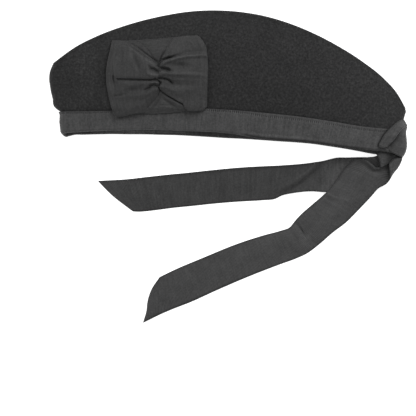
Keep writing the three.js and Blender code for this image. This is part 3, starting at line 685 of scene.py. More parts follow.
def spaced(rows, fine=12):
    """Smooth rows through a table of rows; every row is a list of (x, y, z) across the ribbon."""
    rows = np.array(rows, float)
    mids = rows.mean(axis=1)
    s = arc_lengths(mids)
    knots = [dict(s=v) for v in s]
    out = np.empty(((len(rows) - 1) * fine + 1,) + rows.shape[1:])
    at = np.concatenate([[s[0]], *[np.linspace(s[i], s[i + 1], fine + 1)[1:] for i in range(len(s) - 1)]])
    for j in range(rows.shape[1]):
        for c in range(3):
            for k, v in zip(knots, rows[:, j, c]):
                k["v"] = v
            out[:, j, c] = spline(knots, "s", "v")(at)
    return out


def across(rows, count, ease=None):
    """Respace every row's points across the ribbon by a smooth curve through them."""
    m = rows.shape[1]
    if m == 2:
        t = np.linspace(0, 1, count)[None, :, None]
        return rows[:, :1] * (1 - t) + rows[:, 1:] * t
    d = np.linalg.norm(np.diff(rows.mean(axis=0), axis=0), axis=-1)
    s = np.concatenate([[0], np.cumsum(d)])
    t = np.linspace(0, s[-1], count) if ease is None else np.interp(ease, np.linspace(0, 1, m), s)
    w = np.diff(s)
    i = np.clip(np.searchsorted(s, t, side="right") - 1, 0, m - 2)
    h = w[i]
    f = (t - s[i]) / h
    slope = np.diff(rows, axis=1) / w[None, :, None]
    g = np.empty_like(rows)
    g[:, 0], g[:, -1] = slope[:, 0], slope[:, -1]
    g[:, 1:-1] = (slope[:, :-1] * w[None, 1:, None] + slope[:, 1:] * w[None, :-1, None]) / (w[1:] + w[:-1])[None, :, None]
    f2, f3 = f * f, f * f * f
    out = ((2 * f3 - 3 * f2 + 1)[None, :, None] * rows[:, i] + ((f3 - 2 * f2 + f) * h)[None, :, None] * g[:, i]
           + (-2 * f3 + 3 * f2)[None, :, None] * rows[:, i + 1] + ((f3 - f2) * h)[None, :, None] * g[:, i + 1])
    return out


# The lower tail, from the knot down to its slanted end. Each row runs from the left edge to
# the right edge of the ribbon.
TAIL_LOWER_ROWS = [
    [(110.9, 6.8, 3.4), (121.1, 5.9, 7.8), (125.7, 2.6, 9.8), (130.4, -1.0, 10.2), (137.1, 1.4, 7.2), (142.4, 3.2, 6.4)],
    [(109.8, 5.1, 3.1), (119.4, 3.3, 5.2), (124.3, -0.3, 6.2), (129.2, -3.6, 6.9), (136.6, -2.5, 6.9), (142.2, -1.4, 6.4)],
    [(107.2, 2.6, 2.9), (116.5, 0.2, 5), (122.3, -3.2, 6.5), (128.1, -6.3, 7.4), (135.5, -7.0, 7.2), (142.6, -7.9, 6)],
    [(102.6, -2.2, 3.1), (111.0, -4.7, 5.2), (118.8, -7.3, 6.5), (125.7, -9.9, 7), (132.9, -12.1, 6.4), (138.9, -14.3, 5)],
    [(98.7, -7.9, 3.3), (106.5, -10.1, 4.9), (114.0, -12.6, 5.7), (120.9, -15.3, 6.1), (126.9, -17.8, 5.6), (131.1, -19.0, 4.4)],
    [(94.7, -13.6, 3.35), (101.7, -15.6, 4.6), (108.8, -18.0, 5), (115.4, -20.8, 5), (121.4, -23.9, 4.5), (126.0, -24.8, 3.4)],
    [(87.1, -22.9, 3.6), (92.6, -26.0, 3.7), (98.3, -29.2, 3.6), (103.7, -32.4, 3.3), (108.8, -35.6, 2.8), (113.7, -37.8, 1.9)],
    [(75.3, -33.2, 2.1), (80.6, -36.2, 2.3), (86.4, -39.4, 2.2), (92.1, -42.6, 1.9), (97.6, -45.8, 1.4), (102.8, -48.7, 0.9)],
    [(64.6, -42.6, 1), (68.6, -46.3, 1.7), (73.2, -50.0, 1.9), (78.6, -53.4, 1.6), (84.3, -56.7, 1.1), (90.2, -58.4, 0.6)],
    [(59.3, -48.4, 0.7), (62.6, -53.2, 0.9), (66.2, -57.9, 1.7), (70.5, -62.1, 1.9), (74.6, -65.9, 1.3), (78.5, -68.5, 0.6)],
    [(53.9, -54.5, 0.6), (56.5, -59.5, 1.5), (59.7, -64.6, 1.7), (63.4, -69.6, 1.8), (66.1, -73.7, 1.2), (68.6, -75.7, 0.6)],
    [(46.9, -57.0, 0.7), (49.1, -61.6, 1.5), (51.7, -66.4, 1.5), (54.4, -71.3, 1.3), (57.0, -76.0, 0.9), (59.7, -79.8, 0.6)],
    [(32.1, -61.0, 0.9), (34.5, -66.0, 1.2), (37.1, -71.3, 1.2), (39.8, -76.6, 1), (42.2, -81.5, 0.8), (44.9, -85.2, 0.6)],
    [(6.9, -69.2, 0.7), (8.8, -74.6, 0.9), (11.0, -80.1, 1), (13.2, -85.5, 0.9), (15.3, -90.7, 0.7), (17.6, -95.8, 0.6)],
    [(-21.3, -80.7, 0.6), (-19.4, -85.4, 0.8), (-17.2, -90.8, 0.9), (-15.1, -96.4, 0.9), (-13.1, -101.7, 0.8), (-11.0, -108.1, 0.7)],
    [(-42.4, -89.5, 0.6), (-40.4, -94.3, 0.9), (-38.2, -99.9, 1.2), (-36.0, -105.5, 1.2), (-33.8, -111.1, 0.9), (-31.6, -117.5, 0.6)],
    [(-59.6, -97.5, 0.8), (-61.8, -103.3, 1.2), (-62.9, -109.7, 1.5), (-62.7, -116.5, 1.5), (-62.5, -122.9, 1.1), (-62.7, -130.5, 0.7)],
    [(-60.4, -97.7, 1), (-66.3, -106.0, 1.5), (-69.4, -113.2, 1.9), (-70.9, -119.6, 2), (-71.8, -127.5, 1.8), (-74.6, -136.6, 2.4)],
]

# The upper tail, from the knot to its slanted end; rows run from the top edge to the bottom edge.
TAIL_UPPER_ROWS = [
    [(132.4, 6.7, 2.8), (131.8, 0.5, 2.4), (130.9, -4.8, 2)],
    [(117.7, 7.0, 1.9), (116.9, -1.2, 1.6), (115.1, -10.0, 1.3)],
    [(104.5, 6.7, 1.5), (103.7, -3.9, 1.5), (101.9, -15.3, 1.2)],
    [(95.3, 6.5, 2.1), (94.9, -6.5, 2.3), (93.1, -21.0, 2.2)],
    [(83.9, 3.8, 2.5), (85.2, -9.2, 2.9), (85.2, -21.8, 3.1)],
    [(77.3, 2.8, 2.4), (75.5, -9.2, 2.8), (74.6, -21.1, 3.5)],
    [(64.3, 1.1, 1.8), (63.2, -10.0, 2), (61.4, -22.0, 2.9)],
    [(59.7, 0.7, 1.7), (57.9, -10.9, 1.9), (55.7, -22.9, 2.5)],
    [(52.6, 0.2, 1.5), (50.9, -12.2, 1.9), (48.2, -24.5, 2)],
    [(43.8, -0.4, 1.1), (42.6, -13.6, 1.7), (40.8, -27.8, 1.3)],
    [(32.1, -0.9, 0.8), (31.7, -14.4, 1.1), (31.0, -28.8, 0.7)],
    [(6.9, -2.4, 0.8), (6.9, -16.2, 1), (7.2, -30.2, 0.7)],
    [(-16.0, -4.6, 0.7), (-15.1, -18.0, 0.9), (-14.3, -32.0, 0.7)],
    [(-33.6, -6.5, 0.6), (-32.4, -20.6, 0.8), (-31.0, -33.8, 0.7)],
    [(-52.1, -8.3, 0.7), (-50.3, -22.4, 0.9), (-48.1, -35.5, 0.6)],
    [(-71.5, -10.4, 0.7), (-68.8, -24.1, 1), (-65.7, -37.8, 0.6)],
    [(-89.9, -12.4, 0.9), (-84.7, -25.9, 1.3), (-77.3, -39.0, 0.7)],
    [(-113.7, -13.4, 2), (-101.2, -26.0, 1.8), (-84.3, -39.0, 1.2)],
]


def upper_relief(x, y):
    v = crease(x, y, [(83.8, 1.8, 0.5), (79.4, -3.0, 1), (73.7, -8.1, 1), (68.1, -12.7, 1), (62.3, -17.1, 1), (55.8, -20.6, 0.9), (49.1, -24.3, 0.5)], 1.15, 5.8, "soft")
    v -= crease(x, y, [(77.3, 2.1, 0.9), (71.5, -3.4, 1), (64.5, -9.2, 0.9), (56.6, -14.9, 0.6), (47.3, -20.2, 0.4)], 1.4, 5.0, "soft")
    v += 0.22 * value_noise(x / 23 + 2.0, y / 14 + 4.0, 91) + 0.10 * value_noise(x / 9, y / 8, 92)
    return v


def lower_relief(x, y):
    v = crease(x, y, [(60.5, -49.6, 0.9), (63.5, -53.7, 1), (66.7, -59.0, 0.8), (68.5, -62.4, 0.3)], 1.3, 1.7, "v")
    v -= crease(x, y, [(58.8, -54.5, 0.9), (63.2, -60.7, 1), (68.8, -69.0, 0.8), (72.0, -74.3, 0.3)], 0.45, 6.5, "soft")
    v += crease(x, y, [(90.5, -22.8, 0.8), (93.1, -28.1, 1), (96.6, -32.9, 0.3)], 0.7, 7.0, "soft")
    v += 0.20 * value_noise(x / 26 + 8.0, y / 17 + 1.0, 95) + 0.08 * value_noise(x / 9, y / 8, 96)
    return v


# Painted shade and painted highlights on the tails: shade along the upper tail's top edge and in its valley fold,
# highlights on its ridges, and painted light where the lower tail shades it; on the lower tail, shade in its pleat,
# below its curled rim and beside the knot's folds, with highlights on the rim and ridges. A positive amount is darker,
# a negative one lighter.
UPPER_LINES = [
    ([(-89.9, -12.6, 0.6), (-60.0, -9.3, 0.8), (-16.0, -4.8, 1), (32.1, -1.1, 1), (64.1, 0.9, 1), (83.4, 3.4, 0.8)], 0.30, 1.5, "soft"),
    ([(81.0, 0.5, 0.4), (75.0, -5.0, 0.9), (70.4, -9.2, 1), (64.0, -14.4, 1), (58.4, -18.0, 0.9), (51.7, -21.3, 0.5)], 0.12, 5.0, "soft"),
    ([(78.1, 1.8, 0.9), (71.5, -2.8, 1), (64.5, -8.4, 1), (57.9, -13.2, 0.6)], -0.18, 3.4, "soft"),
    ([(86.1, -1.2, 0.9), (88.7, -10.0, 1), (87.8, -18.0, 0.9)], -0.22, 20.0, "soft"),
    ([(108.9, 6.2, 1), (102.8, 2.7, 1), (96.6, -3.9, 1), (86.1, -19.7, 0.6)], -0.42, 9.0, "soft"),
    ([(108.9, 5.5, 1), (102.8, 3.5, 1), (97.5, 0.9, 0.8)], -0.12, 5.0, "soft"),
]
LOWER_LINES = [
    ([(60.9, -50.0, 1), (64.0, -54.4, 1), (67.1, -60.4, 0.6)], 0.36, 1.5, "soft"),
    ([(61.1, -57.2, 0.7), (65.8, -64.1, 1), (69.5, -70.6, 0.6)], -0.11, 6.0, "soft"),
    ([(8.6, -80.4, 0.3), (-11.6, -89.2, 1), (-38.0, -98.9, 1), (-60.0, -114.8, 0.9)], 0.08, 36.0, "soft"),
    ([(82.5, -38.2, 0.6), (94.9, -32.0, 1), (105.4, -25.9, 0.7)], -0.11, 12.0, "soft"),
    ([(114.2, -11.8, 0.8), (121.3, -6.5, 1)], 0.06, 10.0, "soft"),
    ([(87.3, -22.5, 1), (90.5, -25.8, 1), (96.6, -27.3, 0.8), (103.7, -28.5, 0.4)], -0.38, 1.5, "soft"),
    ([(88.0, -26.2, 1), (92.2, -28.9, 0.9), (98.4, -30.3, 0.4)], 0.34, 3.2, "soft"),
    ([(121.6, 6.3, 0.7), (123.9, 4.0, 1), (126.2, 1.7, 1), (128.9, -0.8, 1), (133.1, -1.4, 0.7)], -0.75, 1.5, "soft"),
    ([(114.2, 5.6, 0.3), (118.6, 3.3, 0.8), (123.0, 0.0, 1), (127.4, -3.0, 1), (134.5, -3.9, 1), (138.9, -2.1, 0.8)], 0.38, 3.6, "soft"),
    ([(141.2, 1.4, 1), (141.7, -3.0, 1), (140.6, -7.8, 1), (137.3, -12.7, 0.5)], 0.38, 7.5, "soft"),
    ([(133.6, 0.5, 1), (137.5, -0.6, 1), (141.5, 0.5, 1)], 0.28, 3.4, "soft"),
]
# Painted shade and painted highlights on the knot: shade on the wrap along its lower edge, beside the roll and where it
# turns down; shade along the roll's near edge and at its top end, with a highlight on its far ridge; the middle fold
# shaded towards the pocket and lit along its left side; the right strip lit along its left edge and shaded under the
# wrap; the inner ribbon lightened at its right. A positive amount is darker, a negative one lighter.
WRAP_LINES = [
    ([(140.1, 20.1, 1), (141.2, 15.8, 1), (144.7, 11.8, 1), (151.6, 8.8, 1), (152.9, 7.9, 1)], 0.40, 1.6, "soft"),
    ([(152.9, 31.3, 0.5), (150.8, 26.8, 1), (148.0, 22.0, 0.7)], 0.16, 2.6, "soft"),
    ([(157.3, 35.7, 1), (156.5, 31.3, 1), (156.8, 23.4, 1), (156.3, 17.2, 1), (154.4, 11.1, 0.8)], 0.50, 3.0, "soft"),
    ([(142.4, 18.6, 1), (146.8, 15.5, 0.6)], 0.14, 3.0, "soft"),
]
ROLL_LINES = [
    ([(155.1, 41.5, 0.7), (157.0, 38.0, 1), (157.7, 34.8, 1)], 0.45, 2.8, "soft"),
    ([(134.5, 19.5, 1), (138.0, 18.8, 1)], -0.20, 2.2, "soft"),
    ([(147.7, 39.0), (143.3, 34.9), (139.0, 30.8), (136.2, 26.9), (133.5, 22.0), (132.1, 19.5)], 0.60, 0.9, "soft"),
    ([(155.8, 38.7, 0.8), (151.7, 34.5, 1), (147.1, 29.7, 1), (143.4, 25.0, 1), (140.3, 20.4, 0.6)], -0.22, 1.9, "soft"),
    ([(150.3, 36.8, 0.6), (144.7, 31.9, 0.9), (140.6, 26.9, 1), (137.6, 21.8, 0.6)], 0.12, 2.0, "soft"),
]
MIDDLE_LINES = [
    ([(139.7, 11.6, 0.8), (142.6, 8.3, 1), (143.3, 4.5, 1), (141.0, 2.3, 0.5)], 0.64, 6.0, "soft"),
    ([(134.1, 9.0, 0.7), (135.0, 5.5, 1), (135.3, 1.1, 1)], -0.42, 2.0, "soft"),
    ([(131.1, 11.6, 1), (132.0, 7.6, 1), (133.1, 4.0, 0.8)], 0.40, 1.5, "soft"),
    ([(131.8, 11.8, 1), (137.1, 11.4, 1), (144.1, 10.2, 1)], 0.22, 1.8, "soft"),
]
RIGHT_LINES = [
    ([(142.9, 1.1, 1), (143.3, -2.1, 1), (143.4, -6.5, 1)], -0.30, 1.8, "soft"),
    ([(143.6, 4.9, 1), (145.9, 7.0, 1), (148.5, 7.9, 1), (152.9, 8.3, 1)], 0.52, 1.9, "soft"),
]
INSIDE_LINES = [
    ([(138.0, 4.9, 0.6), (140.6, -0.4, 1), (141.5, -6.5, 1)], -0.6, 5.0, "soft"),
    ([(124.8, 5.8, 0.6), (129.2, 3.2, 1), (134.5, 0.5, 1), (140.6, 1.4, 1), (146.8, 7.6, 1)], 0.16, 7.0, "soft"),
]


def fold_relief(x, y):
    return 0.16 * value_noise(x / 3.4 + 3.0, y / 3.4 + 6.0, 97) + 0.08 * value_noise(x / 1.6, y / 1.6, 98)


def tail(name, rows, columns, relief, reach, thick=0.8, up=1, **more):
    mid = across(spaced(rows, 24), columns)
    mid = resample(mid, RIB / 4)
    way = (mid[:, -1] - mid[:, 0])[:, None] * [1, 1, 0]
    share = np.linspace(0, 1, columns)[None, :, None]
    mid = mid + unit(way) * (share * reach[1] - (1 - share) * reach[0])
    mid[..., 2] += relief(mid[..., 0], mid[..., 1])
    mid[..., 2] = np.maximum(mid[..., 2], thick / 2 + RIB_RISE + 0.04)
    return ribbon_mesh(name, mid, thick=thick, up=up, **more)


def strip(name, rows, step, columns, thick=0.8, up=1, rib=True, relief=None, ease=None, fine=16, **more):
    """Short folded ribbon through a table of rows."""
    mid = across(spaced(rows, fine), columns, ease)
    mid = resample(mid, step)
    if relief is not None:
        mid[..., 2] += relief(mid[..., 0], mid[..., 1])
    return ribbon_mesh(name, mid, thick=thick, up=up, rib=rib, **more)


# The ribbon that wraps the back of the rim, from the notch under the crown down to the knot.
# Its face shows at the right; its near edge is doubled into a roll that lies on the band.
WRAP_ROWS = [
    [(150.0, 39.0, 12.2), (152.6, 38.2, 12.8), (154.4, 37.1, 12.4), (155.8, 36.1, 10.4), (157.1, 35.2, 7.4), (157.4, 34.7, 3.6)],
    [(145.6, 34.1, 15.6), (149.4, 32.7, 15.8), (152.4, 31.9, 15.6), (154.7, 31.3, 13.4), (156.1, 30.5, 9.4), (156.3, 29.9, 3.8)],
    [(142.2, 29.4, 15.8), (147.1, 27.6, 15.4), (151.4, 26.6, 16.2), (154.7, 25.9, 13.9), (156.5, 25.2, 9.8), (156.6, 24.5, 3.8)],
    [(139.0, 24.5, 15.8), (144.0, 22.3, 14.9), (149.2, 20.6, 16.4), (153.8, 19.6, 14.4), (156.7, 18.7, 9.8), (156.8, 17.8, 3.6)],
    [(137.8, 20.4, 15.6), (142.0, 17.2, 14.7), (147.3, 15.0, 16), (151.9, 13.7, 14.6), (155.2, 12.6, 10.4), (155.5, 11.8, 3.9)],
    [(140.1, 16.5, 14.8), (142.6, 13.7, 15), (146.1, 11.4, 15.2), (149.4, 9.9, 13.9), (152.3, 8.5, 11), (152.9, 7.7, 5.6)],
]
ROLL_ROWS = [
    [(153.1, 42.8, 8.6), (153.5, 42.2, 9.2), (153.8, 41.8, 10.6), (155.2, 40.3, 11.8), (156.2, 38.5, 11.4), (157.3, 36.1, 9.6), (156.7, 35.2, 8.4), (155.4, 36.4, 8.2)],
    [(148.2, 38.5, 14.8), (148.6, 38.1, 16.4), (149.3, 37.8, 17.6), (151.4, 36.7, 18.2), (152.9, 35.7, 17.8), (154.0, 34.7, 16.8), (153.4, 33.8, 15.4), (152.0, 34.6, 14.9)],
    [(143.4, 34.3, 17), (143.9, 34.0, 18.6), (144.7, 33.5, 19.6), (147.0, 32.6, 20.2), (149.2, 31.9, 19.7), (150.9, 31.3, 18.8), (150.2, 30.4, 17), (148.8, 31.1, 16.6)],
    [(139.6, 30.4, 17.8), (140.0, 30.1, 19.4), (140.9, 29.7, 20.3), (143.4, 28.8, 20.8), (145.9, 28.2, 20.2), (148.1, 27.8, 19.5), (147.4, 26.8, 17.8), (146.0, 27.4, 17.2)],
    [(136.8, 26.7, 18), (137.2, 26.4, 19.6), (138.1, 26.0, 20.5), (140.8, 25.3, 20.9), (143.4, 24.7, 20.3), (145.8, 24.5, 19.6), (145.2, 23.4, 17.9), (143.7, 23.9, 17.2)],
    [(134.1, 21.9, 18.2), (134.6, 21.7, 19.4), (135.4, 21.5, 20.3), (138.0, 21.1, 20.8), (140.5, 21.1, 20.3), (142.6, 21.4, 19.6), (142.1, 20.4, 18), (140.9, 20.8, 17.3)],
    [(132.7, 19.4, 18), (133.1, 19.2, 18.9), (133.8, 19.0, 19.7), (136.0, 18.7, 20.2), (138.1, 18.7, 20), (140.3, 19.2, 19.3), (139.9, 18.3, 17.9), (138.7, 18.2, 17.2)],
    [(133.1, 17.4, 17.4), (133.4, 17.3, 17.9), (134.0, 17.1, 18.4), (135.8, 16.8, 18.6), (137.8, 16.9, 18.4), (139.7, 17.3, 18), (139.6, 16.7, 17), (138.5, 16.6, 16.6)],
]

# Folds of the knot below it: the middle fold, which catches the light, the strip at the right, whose paler look is
# painted light, and the ribbon inside, dark from the knot's shade.
FOLD_MIDDLE = [
    [(130.2, 12.1, 9.8), (135.3, 12.7, 12), (141.5, 12.1, 11.6), (149.0, 9.3, 9.4)],
    [(131.1, 9.9, 10.6), (136.4, 9.7, 13.2), (141.7, 8.4, 11.8), (147.7, 7.0, 9.6)],
    [(132.3, 7.0, 10.8), (136.2, 6.3, 13.6), (140.4, 5.5, 12), (144.7, 5.1, 9.8)],
    [(133.5, 3.7, 10.6), (135.9, 3.2, 12.8), (138.9, 3.2, 11.8), (142.0, 3.7, 9.8)],
    [(134.1, -0.3, 9.6), (135.1, -0.4, 11), (136.7, 0.7, 10.7), (139.1, 2.0, 9.6)],
]
FOLD_RIGHT = [
    [(141.9, 3.0, 10.4), (144.7, 6.0, 11.2), (148.5, 8.1, 10.8), (151.7, 8.5, 8.6)],
    [(141.7, 1.1, 11.4), (144.3, 4.2, 12.4), (148.4, 6.5, 12), (152.9, 7.4, 9.8)],
    [(141.9, -1.2, 11.4), (144.7, 0.9, 12.6), (148.2, 2.5, 11.9), (151.3, 2.4, 9.8)],
    [(142.2, -3.7, 11), (144.1, -2.6, 12.1), (146.6, -1.4, 11.3), (148.8, -1.6, 9.4)],
    [(142.5, -6.9, 9.8), (143.5, -6.3, 10.7), (144.7, -5.5, 10.1), (145.6, -5.4, 8.8)],
    [(142.6, -10.2, 8.6), (143.0, -9.8, 9.2), (143.2, -9.1, 8.9), (143.4, -8.7, 8)],
]
FOLD_INSIDE = [
    [(117.7, 7.7, 5.2), (121.3, 4.0, 5.4), (124.8, -1.2, 4.9)],
    [(123.0, 8.1, 6.4), (127.4, 2.3, 5.4), (132.7, -3.9, 5)],
    [(129.7, 9.0, 7.6), (134.4, 2.1, 6.4), (140.6, -7.0, 5)],
    [(136.2, 11.8, 5), (140.2, 3.2, 4.6), (143.4, -7.0, 4.4)],
    [(143.3, 13.7, 7.4), (145.9, 5.8, 5.6), (147.1, -0.4, 5)],
    [(152.8, 13.0, 9.6), (151.5, 8.6, 7.6), (149.6, 4.6, 6.6)],
    [(154.4, 12.3, 3.4), (152.6, 8.8, 3.9), (149.8, 4.9, 5.2)],
]


# ------------------------------------------------------------------ the cockade
# A bow of wide ribbon gathered at its middle, over a second ribbon that shows above and below
# the gather. Edges run from left to right, the ends from bottom to top.
BOW_LOW = [(-97.9, 43.3), (-92.6, 44.2), (-83.2, 46.4), (-74.4, 47.5), (-68.3, 53.3), (-63.6, 59.7), (-60.7, 66.2), (-59.5, 67.6), (-53.8, 63.3), (-48.2, 60.1), (-43.2, 57.2), (-39.6, 55.4), (-38.6, 52.1), (-35.4, 49.0), (-30.1, 48.7), (-23.1, 49.0)]
BOW_HIGH = [(-102.0, 110.8), (-96.1, 110.7), (-89.9, 110.2), (-85.1, 107.5), (-79.1, 104.2), (-69.7, 96.4), (-62.9, 90.7), (-60.4, 91.0), (-59.0, 93.1), (-56.8, 97.9), (-53.7, 104.0), (-50.9, 109.3), (-47.7, 113.2), (-38.6, 114.6), (-27.6, 115.2), (-24.8, 113.5)]
BOW_LEFT = [(-97.9, 43.3), (-99.6, 45.0), (-102.7, 52.7), (-105.4, 62.8), (-107.4, 73.0), (-107.7, 82.5), (-106.0, 93.2), (-103.4, 103.3), (-102.3, 109.6), (-102.0, 110.8)]
BOW_RIGHT = [(-23.1, 49.0), (-18.7, 52.6), (-18.7, 59.5), (-18.4, 73.0), (-17.5, 87.8), (-18.3, 96.6), (-19.2, 104.4), (-21.8, 109.1), (-24.8, 113.5)]
BACK_LEFT = [(-97.0, 110.2), (-93.5, 106.1), (-84.7, 100.8), (-76.7, 95.6), (-69.7, 90.7), (-66.6, 85.0), (-66.2, 76.2), (-66.2, 69.2), (-67.5, 63.9), (-68.8, 59.5), (-74.1, 52.9), (-81.1, 46.8)]
BACK_RIGHT = [(-42.4, 113.7), (-45.1, 108.8), (-48.0, 103.5), (-51.2, 97.8), (-53.0, 93.4), (-54.3, 88.5), (-55.2, 83.2), (-55.2, 74.4), (-53.9, 69.2), (-49.0, 63.0), (-37.1, 55.1), (-28.3, 48.4)]
BACK_TOP = [(-97.0, 110.2), (-82.5, 110.8), (-69.0, 111.8), (-52.1, 113.2), (-42.4, 113.7)]
BACK_LOW = [(-81.1, 46.8), (-74.4, 46.8), (-65.6, 46.2), (-52.1, 47.2), (-38.6, 48.4), (-28.3, 48.4)]

BOW_BODY = [                      # height of the bow's upper layer above what it lies on
    dict(x=-107.7, top=2.5, bottom=0.75),
    dict(x=-104.0, top=3.3, bottom=0.75),
    dict(x=-97.9, top=3.9, bottom=0.8),
    dict(x=-86.4, top=5.2, bottom=1.4),
    dict(x=-75.0, top=6.9, bottom=2.5),
    dict(x=-67.9, top=7.6, bottom=2.9),
    dict(x=-63.1, top=6.9, bottom=3.0),
    dict(x=-60.0, top=6.3, bottom=3.0),
    dict(x=-55.6, top=7.3, bottom=2.9),
    dict(x=-49.5, top=7.8, bottom=2.7),
    dict(x=-39.8, top=6.6, bottom=1.8),
    dict(x=-29.2, top=5.0, bottom=1.0),
    dict(x=-22.2, top=3.9, bottom=0.75),
    dict(x=-17.3, top=2.6, bottom=0.75),
]
LOBE_DROOPS = [                   # edge (0 low, 1 high), middle and half width in x, drop
    (1.0, -52.5, 10.5, 3.6),
    (1.0, -76.7, 17.0, 1.6),
    (0.0, -69.7, 11.0, 3.4),
    (0.0, -36.7, 3.5, 0.6),
    (0.0, -50.3, 13.0, 1.4),
]
